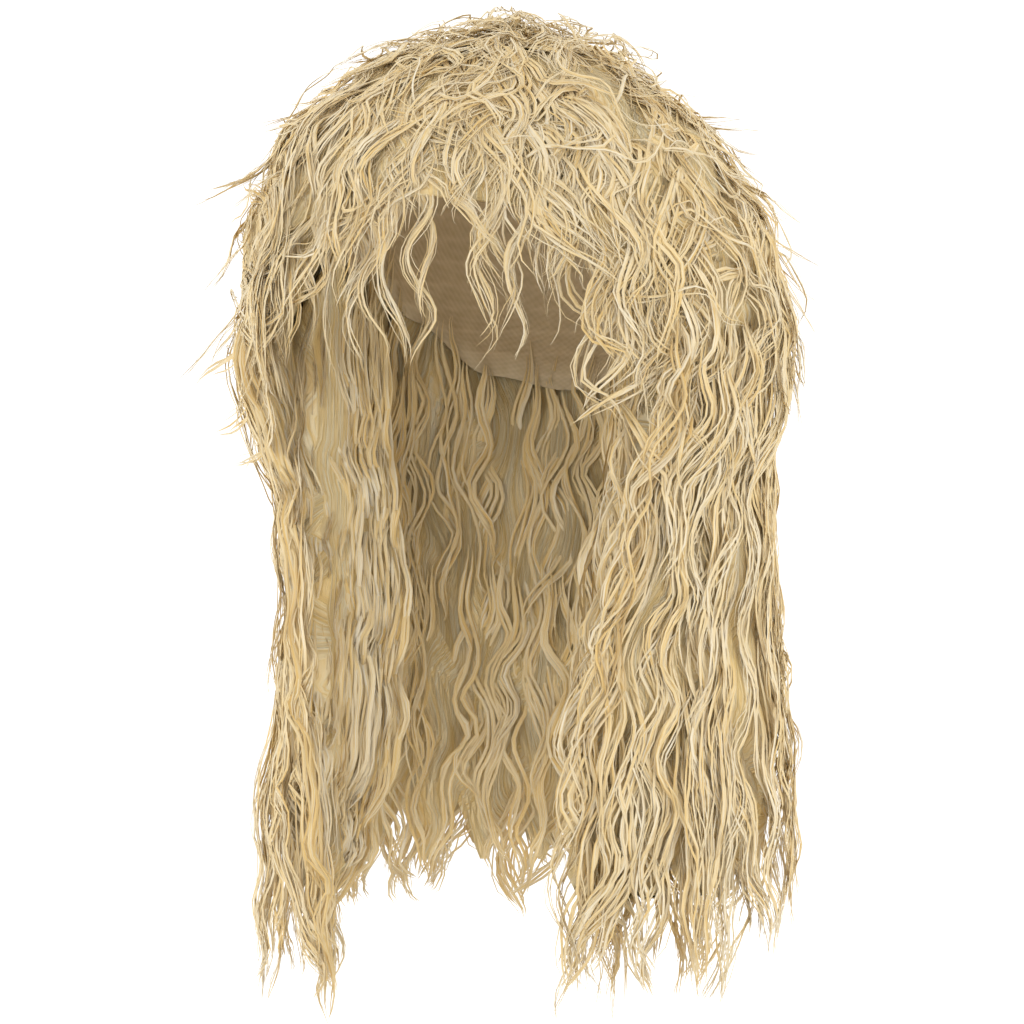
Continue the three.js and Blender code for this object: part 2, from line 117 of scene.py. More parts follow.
def eased(table, at, column):
    """A column of a table at places between its rows, eased from row to row."""
    at = np.clip(at, table[0, 0], table[-1, 0])
    above = np.clip(np.searchsorted(table[:, 0], at, side="right"), 1, len(table) - 1)
    low, high = table[above - 1], table[above]
    share = (at - low[..., 0]) / (high[..., 0] - low[..., 0])
    share = share * share * (3 - 2 * share)
    return low[..., column] + (high[..., column] - low[..., column]) * share


def from_front(turn):
    """Degrees between turns and the front, on either side of it."""
    return abs((turn + 180) % 360 - 180)


def round_value(turn, name):
    return eased(ROUNDS, from_front(np.asarray(turn, float)), ROUND_COLUMNS[name])


def curtain_value(depth, name):
    return eased(CURTAIN, np.asarray(depth) / LONG_DROP, CURTAIN_COLUMNS[name])


def cap_radius(turn):
    angle = np.radians(turn)
    return 1 / np.hypot(2 * np.sin(angle) / CAP_BREADTH, 2 * np.cos(angle) / CAP_LENGTH)


def outline_reach(turn):
    return cap_radius(turn) + HAIR_BULK * round_value(turn, "bulk")


def long_reach(turn):
    return cap_radius(turn) + HAIR_BULK * round_value(turn, "fall")


def place(turn, radius, depth):
    """Points at turns round the cap in degrees, radii from its axis and depths."""
    angle = np.radians(turn)
    return np.stack([radius * np.sin(angle), -radius * np.cos(angle), -depth + 0 * radius], -1)


def unit(vectors):
    return vectors / np.maximum(np.linalg.norm(vectors, axis=-1, keepdims=True), 1e-9)


# The short hair's outline from the top down, by length along it. Below its
# widest level it tucks in a little and runs on as far as the locks' tips.
TURN_STEP = 3.0
RUN_STEP = 0.004
SHELL_TURNS = np.arange(0, 361, TURN_STEP)
SHELL_RUNS = np.arange(0, 0.4, RUN_STEP)
SHELL_END = 0.25
TUCK_UNDER = 0.07
LEAST_TUCK = 0.86


def make_shell():
    """Radius, depth and outward slope of the outline, on a grid of turns and lengths."""
    grids = np.zeros((3, len(SHELL_TURNS), len(SHELL_RUNS)))
    rise = OUTLINE_WAIST + HAIR_TOP
    for row, turn in enumerate(SHELL_TURNS):
        reach = float(outline_reach(turn))
        lean = np.linspace(0, np.pi / 2, 60)
        down = np.linspace(0, SHELL_END - OUTLINE_WAIST, 30)[1:]
        tuck = 1 - TUCK_UNDER * (down / (SHORT_DROP - OUTLINE_WAIST)) ** 2
        radius = np.concatenate([reach * np.sin(lean), reach * np.maximum(tuck, LEAST_TUCK)])
        depth = np.concatenate([OUTLINE_WAIST - rise * np.cos(lean), OUTLINE_WAIST + down])
        run = np.concatenate([[0], np.cumsum(np.hypot(np.diff(radius), np.diff(depth)))])
        grids[0, row] = np.interp(SHELL_RUNS, run, radius)
        grids[1, row] = np.interp(SHELL_RUNS, run, depth)
        slope = np.arctan2(np.gradient(depth, run), np.gradient(radius, run))
        grids[2, row] = np.interp(SHELL_RUNS, run, slope)
    return grids


SHELL = make_shell()


def lopsided(turn, run):
    """The hair on top stands higher on its right than on its left."""
    over_top = np.sin(np.pi * np.clip((run - 0.02) / 0.2, 0, 1))
    return 0.006 * np.cos(np.radians(turn + 67)) * over_top


def shell_cell(turn, run):
    """The cell of the outline's grid that places lie in, and their shares of its two sides."""
    a = np.clip(np.asarray(turn) % 360 / TURN_STEP, 0, len(SHELL_TURNS) - 1.001)
    b = np.clip(run / RUN_STEP, 0, len(SHELL_RUNS) - 1.001)
    i, j = a.astype(int), b.astype(int)
    return i, j, a - i, b - j


def shell_radius(turn, run):
    i, j, _, v = shell_cell(turn, run)
    return np.maximum(SHELL[0, i, j] * (1 - v) + SHELL[0, i, j + 1] * v, 0.004)


def shell_run_at(turn, depth):
    """Length along the outline to a depth."""
    row = int(round((turn % 360) / TURN_STEP))
    return float(np.interp(depth, SHELL[1, row], SHELL_RUNS))


def crown_edge(turn):
    """Length along the outline to the crown's lower edge."""
    return shell_run_at(turn, OUTLINE_WAIST * float(round_value(turn, "crown_edge")))


def layer_edge(turn):
    """Length along the outline to the short layer's lower edge."""
    return shell_run_at(turn, SHORT_DROP * float(round_value(turn, "edge")))


def on_shell(turn, run, height):
    """Points at a height over the short hair's outline, and the way outward there."""
    height = height + lopsided(turn, run)
    i, j, u, v = shell_cell(turn, run)
    turn = np.asarray(turn) % 360
    radius, depth, slope = (
        grid[i, j] * (1 - u) * (1 - v)
        + grid[i + 1, j] * u * (1 - v)
        + grid[i, j + 1] * (1 - u) * v
        + grid[i + 1, j + 1] * u * v
        for grid in SHELL
    )
    outward = place(turn, np.sin(slope), -np.cos(slope))
    return place(turn, radius, depth) + outward * height[..., None], unit(outward)


# Locks: a guide down the middle of each one


class Guides:
    """Paths of locks, with what each needs to be made into strands."""

    def __init__(self):
        self.points, self.outward, self.along = [], [], []
        self.run, self.tone, self.bulk = [], [], []

    def add(self, points, outward, tone, bulk, between=STEP):
        """One lock along points, of a tone from 0 to 1 and a bulk in metres."""
        steps = np.linalg.norm(np.diff(points, axis=0), axis=1)
        run = np.concatenate([[0], np.cumsum(steps)])
        count = max(5, round(run[-1] / between))
        at = np.linspace(0, run[-1], count)

        def resample(values):
            return np.stack([np.interp(at, run, values[:, k]) for k in range(3)], -1)

        self.points.append(resample(points))
        self.outward.append(unit(resample(outward)))
        self.along.append(at / run[-1])
        self.run.append(at)
        self.tone.append(np.full(count, tone))
        self.bulk.append(np.full(count, bulk))

    def object(self, name):
        """A mesh of the paths as edges, for Geometry Nodes to read."""
        counts = [len(points) for points in self.points]
        starts = np.cumsum([0] + counts[:-1])
        firsts = np.concatenate([np.arange(start, start + count - 1) for start, count in zip(starts, counts)])
        edges = np.stack([firsts, firsts + 1], -1)
        mesh = bpy.data.meshes.new(name)
        mesh.vertices.add(sum(counts))
        mesh.vertices.foreach_set("co", np.concatenate(self.points).ravel())
        mesh.edges.add(len(edges))
        mesh.edges.foreach_set("vertices", edges.ravel())
        outward = mesh.attributes.new("outward", "FLOAT_VECTOR", "POINT")
        outward.data.foreach_set("vector", np.concatenate(self.outward).ravel())
        for key in ("along", "run", "tone", "bulk"):
            attribute = mesh.attributes.new(key, "FLOAT", "POINT")
            attribute.data.foreach_set("value", np.concatenate(getattr(self, key)))
        mesh.update()
        obj = bpy.data.objects.new(name, mesh)
        bpy.context.collection.objects.link(obj)
        return obj


def drift_rows(count, length, around=7):
    """Rows of a smooth random field: waves round the cap, along the hair, phase, strength."""
    return np.stack(
        [
            rng.integers(1, around, count),
            2 * np.pi / rng.uniform(0.7, 1.6, count) / length,
            rng.uniform(0, 2 * np.pi, count),
            rng.uniform(0.5, 1.0, count) / count**0.5,
        ],
        -1,
    )


def drift(rows, turn, run):
    """A smooth random field from about -1 to 1, over turns and lengths along the hair."""
    angle = np.radians(turn)
    return sum(
        strength * np.sin(around * angle + down * run + phase) * 1.4 for around, down, phase, strength in rows
    )


LEAN_FIELD = drift_rows(7, 0.16)
PHASE_FIELD = drift_rows(10, 0.28, 20)
LIFT_FIELD = drift_rows(6, 0.1)
CRIMP = 0.059  # usual length of the hair's waves
WHORL = np.array([0.0, 0.02])  # where the hair parts on top, along the dome
STEPS = 48  # of the walk along a lock of short hair


def wave_phase(turn, run, crimp=CRIMP):
    """Where in its wave the hair is. Near each other, locks wave together."""
    return 2 * np.pi * run / crimp + 1.5 * drift(PHASE_FIELD, turn, run)


def wave_lift(turn, run):
    """How far the hair stands out where it waves, for the locks and the mass under them."""
    return 0.002 * np.sin(wave_phase(turn, run) + 1.3)


def short_paths(locks):
    """Paths over the dome for a table of locks, walked from each tip back to its root."""
    turn, run = locks["turn"].copy(), locks["run"].copy()
    count = len(turn)
    spots = np.zeros((STEPS, 2, count))
    step = locks["length"] / (STEPS - 1)
    for index in range(STEPS):
        spots[index] = turn, run
        share = 1 - index / (STEPS - 1)
        angle = np.radians(turn)
        plane = np.stack([run * np.sin(angle), -run * np.cos(angle)])
        radius = shell_radius(turn, run)
        away = plane - WHORL[:, None] - locks["aside"]
        down = away[0] * np.sin(angle) - away[1] * np.cos(angle)
        aside = (away[0] * np.cos(angle) + away[1] * np.sin(angle)) * radius / np.maximum(run, 0.004)
        heading = np.arctan2(aside, down)
        wave = locks["swing"] * np.cos(wave_phase(turn, run, locks["crimp"]) + locks["phase"])
        heading = heading + locks["lean"] + wave * min(1, 4 * share + 0.25)
        messy = 0.26 + 0.55 * np.clip(1 - run / 0.13, 0, 1)
        heading = heading + messy * drift(LEAN_FIELD, turn, run) + locks["hook"] * share**4
        forward = run - step * np.cos(heading)
        sideways = -step * np.sin(heading) * np.maximum(run, 0.004) / radius
        across = plane + 0
        across[0] += (forward - run) * np.sin(angle) + sideways * np.cos(angle)
        across[1] += -(forward - run) * np.cos(angle) + sideways * np.sin(angle)
        run = np.hypot(across[0], across[1])
        turn = np.degrees(np.arctan2(across[0], -across[1]))
    spots = spots[::-1]
    t = np.linspace(0, 1, STEPS)[:, None]
    sink = -locks["sink"] * (1 - np.clip(t * 3.4, 0, 1)) ** 2
    lift = 0.0008 * np.sin(2 * np.pi * t * locks["length"] / (1.2 * locks["crimp"]) + 2 * locks["phase"])
    height = sink + lift * np.clip(3 * t, 0, 1) + locks["rise"] * np.sin(np.pi * np.clip(t, 0, 1) ** 1.3)
    height = height + wave_lift(spots[:, 0], spots[:, 1])
    height = height + locks["flick"] * np.clip((t - 0.45) / 0.55, 0, 1) ** 2.2
    height = height + 0.001 * drift(LIFT_FIELD, spots[:, 0], spots[:, 1]) + LOCK_HEIGHT - locks["under"]
    height = height - TOP_SETTLES * np.clip(1 - spots[:, 1] / 0.2, 0, 1)
    points, outward = on_shell(spots[:, 0], spots[:, 1], height)
    return points.transpose(1, 0, 2), outward.transpose(1, 0, 2)


def sector(turn):
    """The piece of short hair that a turn lies in."""
    if from_front(turn) < FRINGE_EDGE:
        return "front"
    if from_front(turn) > SIDE_EDGE:
        return "back"
    return "left" if turn % 360 < 180 else "right"


DEGREES = 57.3  # in a radian
CROWN_END = 0.19  # length along the dome to the crown's own edge
TIP_REACH = 0.026  # of the short hair's tips past its layer's lower edge
# By how much the locks of one tuft differ
TUFT_SPREADS = {
    "turn": 0.0,
    "run": 0.0,
    "length": 0.008,
    "lean": 0.14,
    "swing": 0.06,
    "crimp": 0.002,
    "phase": 0.35,
    "hook": 0.15,
    "flick": 0.0012,
    "rise": 0.001,
    "tone": 0.1,
}


def spaced_turn(index, count, start=0, sweep=360):
    """A turn in one of the equal parts of a sweep, at random within its part."""
    return start + sweep * (index + rng.uniform(0.1, 0.9)) / count


def dome_rows(first, last, row, spacing):
    """Turns and lengths along the outline of scattered spots all over the dome."""
    spots = []
    for at in np.arange(first, last, row):
        radius = DOME_RADIUS * math.sin(min(at / 0.24, 1.57))
        count = max(4, round(2 * math.pi * radius / spacing))
        for index in range(count):
            turn = spaced_turn(index, count)
            spots.append((turn, at + rng.uniform(-0.5, 0.5) * row, radius))
    return spots


def short_end(turn):
    """Length along the outline to the tips of the short hair."""
    aside = from_front(turn)
    if aside < FRINGE_EDGE:
        return shell_run_at(turn, 0.06 + 0.052 * (aside / FRINGE_EDGE) ** 2)
    return layer_edge(turn) + TIP_REACH


def tuft_rows(tuft, radius, members, **more):
    """The locks of one tuft, each a little apart from the tuft's own values."""
    rows = []
    for member in range(members):
        row = {key: tuft[key] + rng.normal(0, 1) * spread for key, spread in TUFT_SPREADS.items()}
        row["turn"] += rng.normal(0, 0.005) / max(radius, 0.03) * DEGREES
        row["run"] -= abs(rng.normal(0, 0.009)) * (member > 0)
        row.update(more)
        rows.append(row)
    return rows


def add_short(groups, rows, bulk, group_of, between=STEP):
    """Walks a table of locks over the dome and shares them out among the groups."""
    locks = {key: np.array([row[key] for row in rows]) for key in [*TUFT_SPREADS, "sink", "under"]}
    locks["aside"] = rng.normal(0, 0.014, (2, len(rows)))
    points, outward = short_paths(locks)
    for index, row in enumerate(rows):
        if group_of(row).startswith("edge") and crosses_opening(points[index]):
            continue
        tone = float(np.clip(row["tone"], 0, 1))
        groups[group_of(row)].add(points[index], outward[index], tone, rng.uniform(*bulk), between)


# The opening in front, for where locks begin and for where they run: degrees to its side
# and the depth of its top
BEGINS_IN = (52, 0.078)
RUNS_IN = (37, 0.118)


def crosses_opening(points):
    """Whether a lock begins in the opening in front, or runs through it below the fringe."""
    turns = np.abs(np.degrees(np.arctan2(points[:, 0], -points[:, 1])))
    begins = turns[0] < BEGINS_IN[0] and points[0, 2] < -BEGINS_IN[1]
    return bool(begins or np.any((turns < RUNS_IN[0]) & (points[:, 2] < -RUNS_IN[1])))


def short_group(row):
    where = sector(row["turn"])
    return ("crown_" if where == "front" or row["run"] < CROWN_END else "layer_") + where


def own_phase(wild):
    """How far a lock is out of step with its neighbours: a little, or a share of them at random."""
    return rng.uniform(0, 2 * np.pi) if rng.uniform(0, 1) < wild else rng.normal(0, 0.5)


SHORT_ROW = 0.024  # between rows of tufts
SHORT_SPACING = 0.032  # between tufts in a row


def make_short_guides(groups):
    """Tufts whose locks meet at their tips, in rows all over the dome."""
    rows = []
    for turn, at, radius in dome_rows(0.03, 0.32, SHORT_ROW, SHORT_SPACING):
        in_front = from_front(turn) < FRINGE_EDGE
        end = short_end(turn)
        if at > end + (0.04 if in_front else 0.0):
            continue
        at = min(at, end - rng.uniform(0, 0.03) * (at > end))
        near_edge = 0.0 if in_front else max(0.0, 1 - (end - at) / 0.07)
        loose = float(np.clip(at / 0.16, 0.3, 1))
        tuft = {
            "turn": turn,
            "run": at,
            "length": rng.uniform(0.1, 0.155),
            "lean": rng.normal(0, 0.16),
            "swing": rng.uniform(0.5, 1.0),
            "crimp": CRIMP + rng.normal(0, 0.002),
            "phase": own_phase(0.12),
            "hook": rng.normal(0, 0.25),
            "flick": rng.uniform(-0.005, 0.001) * (1 - near_edge) + (rng.uniform(0, 1) < 0.1) * 0.01 * loose,
            "rise": rng.uniform(-0.002, 0.003),
            "tone": rng.uniform(0, 1),
        }
        rows += tuft_rows(tuft, radius, 2, sink=0.007, under=rng.uniform(0, 0.0012))
    add_short(groups, rows, (0.004, 0.0065), short_group)


EDGE_TUFTS = 98
TEMPLE_TUFTS = 34
FRONT_TUFTS = 66
BACK_TUFTS = 32
SPIKES = 70
CROWN_SPIKES = 40


def loose_tuft(turn, run, **more):
    """A tuft with the usual waves of short hair, with some of its values given."""
    usual = {
        "turn": turn,
        "run": run,
        "length": rng.uniform(0.08, 0.12),
        "lean": rng.normal(0, 0.22),
        "swing": rng.uniform(0.35, 0.7),
        "crimp": CRIMP + rng.normal(0, 0.002),
        "phase": own_phase(0.25),
        "hook": rng.normal(0, 0.4),
        "flick": rng.uniform(0.0, 0.006),
        "rise": rng.uniform(-0.002, 0.003),
        "tone": rng.uniform(0, 1),
    }
    return {**usual, **more}


def stands_out(turn):
    """How much the tufts at a turn stand out, most at the right side."""
    return math.exp(-(((turn - 288) / 26) ** 2)) + 0.35 * math.exp(-(((turn - 108) / 24) ** 2))


def make_edge_guides(groups):
    """Tufts along the short hair's lower edge, some under others, and locks that stick out."""
    rows = []
    for index in range(EDGE_TUFTS):
        turn = spaced_turn(index, EDGE_TUFTS, 46, 268)
        deep = (index % 3) / 2
        aside = from_front(turn)
        ragged = 0.028 * math.exp(-(((aside - 62) / 34) ** 2)) * (62 < aside and turn < 180)
        run = short_end(turn) - TIP_REACH + rng.uniform(-TIP_REACH, TIP_REACH + 2 * ragged)
        back = 0.15 * math.exp(-(((aside - 46) / 20) ** 2)) * (1 if turn < 180 else -1)
        looks = {"lean": back + rng.normal(0, 0.17), "hook": back + rng.normal(0, 0.3)}
        tuft = loose_tuft(turn, run, **looks, flick=rng.uniform(0.0, 0.012) * (1 - 0.7 * deep))
        tuft["flick"] += 0.016 * stands_out(turn) * (1 - 0.8 * deep)
        rows += tuft_rows(tuft, 0.14, 2, sink=0.018, under=0.014 * deep)
    for side in (-1, 1):
        for _ in range(TEMPLE_TUFTS):
            turn = side * rng.uniform(42, 60)
            low = shell_run_at(turn, 0.1)
            high = shell_run_at(turn, 0.175)
            tuft = loose_tuft(turn, rng.uniform(low, high), lean=rng.normal(-0.25 * side, 0.25))
            rows += tuft_rows(tuft, 0.13, 2, sink=0.016, under=rng.uniform(0, 0.012))
    for index in range(FRONT_TUFTS):
        turn = spaced_turn(index, FRONT_TUFTS, -56, 112)
        low = 0.022 * math.exp(-(((turn + 20) / 14) ** 2)) + 0.025 * math.exp(-(((turn - 40) / 11) ** 2))
        end = shell_run_at(turn, 0.062 + 0.014 * (index % 2) + 0.042 * (turn / 50) ** 2 + low)
        tuft = loose_tuft(turn, end - rng.uniform(-0.012, 0.014), length=rng.uniform(0.09, 0.13))
        tuft.update(lean=rng.normal(0, 0.15), hook=rng.normal(0, 0.25))
        rows += tuft_rows(tuft, 0.12, 2, sink=0.008, under=rng.uniform(0, 0.002))
    for index in range(BACK_TUFTS):
        turn = spaced_turn(index, BACK_TUFTS, 62, 236)
        tuft = loose_tuft(turn, rng.uniform(0.14, 0.25), length=rng.uniform(0.09, 0.13), flick=0.0)
        rows += tuft_rows(tuft, 0.14, 2, sink=0.008, under=rng.uniform(0, 0.001))
    for index in range(SPIKES):
        turn = spaced_turn(index, SPIKES, 44, 272)
        run = 0.1 + (short_end(turn) - 0.1) * rng.uniform(0, 1)
        looks = {"length": rng.uniform(0.06, 0.09), "swing": rng.uniform(0.2, 0.5)}
        looks["crimp"] = rng.uniform(0.05, 0.08)
        tuft = loose_tuft(turn, run, **looks, flick=rng.uniform(0.01, 0.022), lean=rng.normal(0, 0.35))
        tuft["flick"] += 0.014 * stands_out(turn)
        rows += tuft_rows(tuft, 0.14, 1, sink=0.016, under=0.0)
    for index in range(CROWN_SPIKES):
        turn = -115 + 150 * (index + rng.uniform(0, 1)) / CROWN_SPIKES if index % 2 else rng.uniform(0, 360)
        run, length = rng.uniform(0.05, 0.17), rng.uniform(0.07, 0.11)
        tuft = loose_tuft(turn, run, length=length, lean=rng.normal(0, 0.5))
        tuft.update(flick=rng.uniform(0.005, 0.015), hook=rng.normal(0, 1.1), swing=rng.uniform(0.6, 1.1))
        rows += tuft_rows(tuft, 0.1, 2, sink=0.016, under=0.0)
    add_short(groups, rows, (0.0035, 0.006), lambda row: "edge_" + sector(row["turn"]))


def left_turn(share, depth):
    opens = curtain_value(depth, "opens")
    return opens + (CURTAIN_EDGE - opens) * share


def right_turn(share, depth):
    forward = 11 * np.clip((depth - 0.3) / 0.14, 0, 1) * share**3
    return 360 - left_turn(1 - share, depth) + forward


def back_turn(share, depth):
    return CURTAIN_EDGE + (360 - 2 * CURTAIN_EDGE) * share + 0 * depth


SET_BACK = 21  # degrees by which the long hair's inner side starts behind its outer side


def curtain_radii(turn, depth):
    """Radii of the long hair's inner and outer sides. Higher up the inner one meets the cap."""
    outer = long_reach(turn) * curtain_value(depth, "out")
    inner = outer - CURTAIN_THICKNESS * np.maximum(curtain_value(depth, "thick"), 0.35)
    rim, full = CAP_WAIST * round_value(turn, "rim"), 0.47 * LONG_DROP
    low = long_reach(turn) * curtain_value(full, "out") - CURTAIN_THICKNESS * curtain_value(full, "thick")
    share = np.clip((depth - rim) / (full - rim), 0, 1)
    high = on_cap(turn, np.minimum(depth, rim), 0.003)[..., 0]
    return np.where(depth < full, high + (low - high) * share, inner), outer + hair_bulge(turn, depth)


def hair_bulge(turn, depth):
    """How far the long locks swell past their outline: towards the back, and low at the sides."""
    aside = from_front(np.asarray(turn))
    to_back = np.exp(-(((aside - 113) / 22) ** 2))
    low_down = np.exp(-(((aside - 68) / 22) ** 2)) * np.clip((depth - 0.33) / 0.05, 0, 1)
    return LONG_HEIGHT + 0.005 * to_back + 0.006 * low_down


def outline_at(turn, depth):
    """Radius of the short hair's outline at turns and depths below its widest level."""
    tuck = 1 - TUCK_UNDER * (np.maximum(depth - OUTLINE_WAIST, 0) / (SHORT_DROP - OUTLINE_WAIST)) ** 2
    return outline_reach(turn) * np.maximum(tuck, LEAST_TUCK)


def long_path(turn_of, lock):
    """A lock of the long hair. within runs from 0 on its inner side to 1 on its outer side."""
    t = np.linspace(0, 1, 80)
    root, tip = lock["root"], lock["tip"]
    depth = root + (tip - root) * t
    share = lock["share"] + (lock["meet"] - lock["share"]) * np.clip((t - 0.4) / 0.6, 0, 1) ** 1.3 * 0.97
    turn = turn_of(share, depth) + lock["ahead"] * np.clip(2 * t, 0, 1)
    if turn_of is not back_turn:
        set_back = SET_BACK * (1 - np.clip(lock["within"], 0, 1))
        turn = turn + set_back * ((1 - share) if turn_of is left_turn else -share)
    inner, outer = curtain_radii(turn, depth)
    if lock["over"]:
        above = np.clip((0.25 - depth) / 0.1, 0, 1)
        outer = outer + (np.maximum(outline_at(turn, depth), outer) - outer) * above * above * (3 - 2 * above)
    grow = np.clip(t * 4, 0, 1)
    waves = wave_phase(turn, depth, lock["crimp"]) + lock["phase"]
    sway = lock["swing"] * (np.sin(waves) + 0.3 * np.sin(0.43 * waves + 2 * lock["phase"])) * grow
    sway = sway + lock["hook"] * np.clip((t - 0.86) / 0.14, 0, 1) ** 2
    lift = (0.2 * lock["swing"] * np.sin(0.9 * waves + 1.3) + wave_lift(turn, depth)) * grow
    radius = inner + (outer - inner) * lock["within"] + lift
    radius = radius - 0.008 * (1 - grow) + lock["flick"] * np.clip((t - 0.7) / 0.3, 0, 1) ** 2
    points = place(turn + np.degrees(sway / np.maximum(radius, 0.05)), radius, depth)
    return points, outward_of(turn_of, turn, lock["facing"])


def outward_of(turn_of, turn, facing):
    """The way a lock's broad side looks: outward, inward, or along the free edge."""
    if facing == "edge":
        side = 90 if turn_of is right_turn else -90
        return place(turn + side, np.ones_like(turn), 0 * turn)
    outward = place(turn, np.ones_like(turn), 0 * turn)
    return -outward if facing == "in" else outward


# Tufts of the long hair: how far out they hang, the share of the tips' drop that they
# reach, the root's depth and the space between them
OUTER_TUFTS = [
    (1.00, 0.56, 0.120, 1.0),
    (1.00, 0.70, 0.155, 1.0),
    (1.00, 0.84, 0.200, 1.0),
    (0.99, 0.96, 0.245, 1.0),
    (1.00, 1.00, 0.290, 0.8),
    (0.92, 1.00, 0.300, 0.8),
    (0.78, 0.98, 0.310, 0.9),
    (0.55, 0.97, 0.310, 1.2),
]
INNER_TUFTS = [
    (0.03, 0.60, 0.000, 0.8),
    (0.03, 0.80, 0.130, 0.8),
    (0.03, 0.97, 0.240, 0.8),
    (0.30, 1.00, 0.310, 1.2),
]
# And of the tufts that cover a free edge, how far out they hang and how far down they reach
EDGE_COLUMNS = (0.0, 0.2, 0.38, 0.56, 0.74, 0.92)
EDGE_REACHES = (0.55, 0.72, 0.86, 0.98, 1.0)
CLUMP = 0.021  # between the long hair's pointed ends
# Each curtain: its turns, its width, the share where its free edge lies and its tufts' space
CURTAINS = {
    "long_left": (left_turn, 0.125, 0.0, 0.0275),
    "long_right": (right_turn, 0.125, 1.0, 0.0275),
    "long_back": (back_turn, 0.28, None, 0.037),
}


def shorter_behind(turn_of, share):
    """By how much of their length the long locks end higher behind than in front."""
    aside = from_front(float(turn_of(share, 0.4)))
    return 0.07 * min(max((aside - 70) / 40, 0), 1)


def long_tufts(turn_of, width, free_edge, spacing):
    """Where the tufts of one curtain hang and how far down they reach."""
    count = round(width / CLUMP)
    middles = [(k + rng.uniform(0.2, 0.8)) / count for k in range(count)]
    if free_edge is not None:
        middles.append(free_edge)
    ends = []
    for at in middles:
        reach = rng.uniform(0.94, 1.0) - shorter_behind(turn_of, at)
        ends.append((at, reach, rng.normal(0, 0.009)))
    tufts = []
    for facing, rows in (("out", OUTER_TUFTS), ("in", INNER_TUFTS)):
        for row, (within, reach, root, apart) in enumerate(rows):
            count = max(2, round(width / (spacing * apart)))
            for index in range(count):
                share = ((index + rng.uniform(0.2, 0.8) + 0.618 * row) / count) % 1
                rim = CAP_WAIST * float(round_value(float(turn_of(share, 0.12)), "rim")) - 0.012
                end = min(ends, key=lambda end: abs(end[0] - share))
                full = reach > 0.95
                tufts.append(
                    {
                        "facing": facing,
                        "within": within,
                        "reach": end[1] * rng.uniform(0.96, 1.0) if full else reach * rng.uniform(0.92, 1.0),
                        "root": root or rim,
                        "share": share,
                        "meet": end[0] if full else share,
                        "hook": end[2] if full else rng.normal(0, 0.005),
                        "spread": 0.5 / count,
                    }
                )
    over_count = 5 if turn_of is right_turn else 10
    for index in range(over_count):
        share = (index + rng.uniform(0.1, 0.9)) / over_count
        reach, root = rng.uniform(0.5, 0.84), rng.uniform(0.1, 0.15)
        over = {"facing": "over", "within": 1.02, "reach": reach, "root": root, "hook": 0.0}
        tufts.append({**over, "share": share, "meet": share, "spread": 0.5 / over_count})
    if free_edge is not None:
        for within in EDGE_COLUMNS:
            for reach in EDGE_REACHES:
                share = abs(free_edge - rng.uniform(0.0, 0.06))
                edge = {"facing": "edge", "within": within + rng.uniform(-0.1, 0.1)}
                edge.update(reach=reach * rng.uniform(0.92, 1.0), root=0.105, hook=0.0)
                tufts.append({**edge, "share": share, "meet": share, "spread": 0.02})
    return tufts


def make_long_guides(groups):
    """The locks of the three curtains, in pairs that meet near their tips."""
    for name, (turn_of, width, free_edge, spacing) in CURTAINS.items():
        for tuft in long_tufts(turn_of, width, free_edge, spacing):
            tip = TIPS_DROP * tuft["reach"]
            looks = {
                "root": tuft["root"],
                "within": tuft["within"],
                "crimp": CRIMP + rng.normal(0, 0.002),
                "phase": own_phase(0.4),
                "swing": rng.uniform(0.0035, 0.0068),
                "flick": rng.uniform(-0.004, 0.006) if tuft["reach"] > 0.9 else rng.uniform(-0.007, 0.002),
                "ahead": 0.0,
                "hook": tuft["hook"],
                "over": tuft["facing"] == "over",
            }
            spreads = {"root": 0.005, "within": 0.04, "crimp": 0.001, "phase": 0.3, "swing": 0.0006}
            tone = rng.uniform(0, 1)
            for member in range(2):
                lock = {}
                for key, value in looks.items():
                    lock[key] = value + rng.normal(0, 1) * spreads.get(key, 0.001)
                own = tuft["share"] + rng.uniform(-1, 1) * tuft["spread"] * 1.3
                lock["share"] = float(np.clip(own, 0.0, 1.0)) if free_edge is not None else own
                lock["meet"] = tuft["meet"]
                lock["facing"] = tuft["facing"]
                lock["tip"] = tip - abs(rng.normal(0, 0.006)) * (member > 0)
                points, outward = long_path(turn_of, lock)
                # Locks that face inward get 0.6 of their tone: painted shade, because the curtains' inner
                # side lies in shadow.
                shade = np.clip(tone + rng.normal(0, 0.1), 0, 1) * (0.6 if tuft["facing"] == "in" else 1)
                kind = {"edge": "free", "in": "inner"}.get(tuft["facing"], "long")
                group = groups[name.replace("long", kind)]
                group.add(points, outward, float(shade), rng.uniform(0.004, 0.0062), LONG_STEP)


LOOSE_LOCKS = 7


def make_loose_guides(groups):
    """A few thin locks that hang in front of the long hair, with broad waves."""
    for turn_of, free_edge in ((left_turn, 0.0), (right_turn, 1.0)):
        for _ in range(LOOSE_LOCKS):
            lock = {
                "share": free_edge,
                "meet": free_edge,
                "ahead": rng.uniform(-1, 5) * (-1 if turn_of is left_turn else 1),
                "root": 0.1,
                "tip": rng.uniform(0.2, 0.4),
                "within": rng.uniform(0.6, 1.05),
                "crimp": rng.uniform(0.07, 0.09),
                "phase": rng.uniform(0, 2 * np.pi),
                "swing": rng.uniform(0.005, 0.008),
                "flick": rng.uniform(-0.003, 0.004),
                "hook": rng.normal(0, 0.006),
                "facing": "out",
                "over": False,
            }
            points, outward = long_path(turn_of, lock)
            groups["loose"].add(points, outward, rng.uniform(0.5, 1), 0.0022, FINE_STEP)


FRINGE_TUFTS = 23
FRINGE_LEAVES = 0.05  # depth where the fringe leaves the dome and hangs


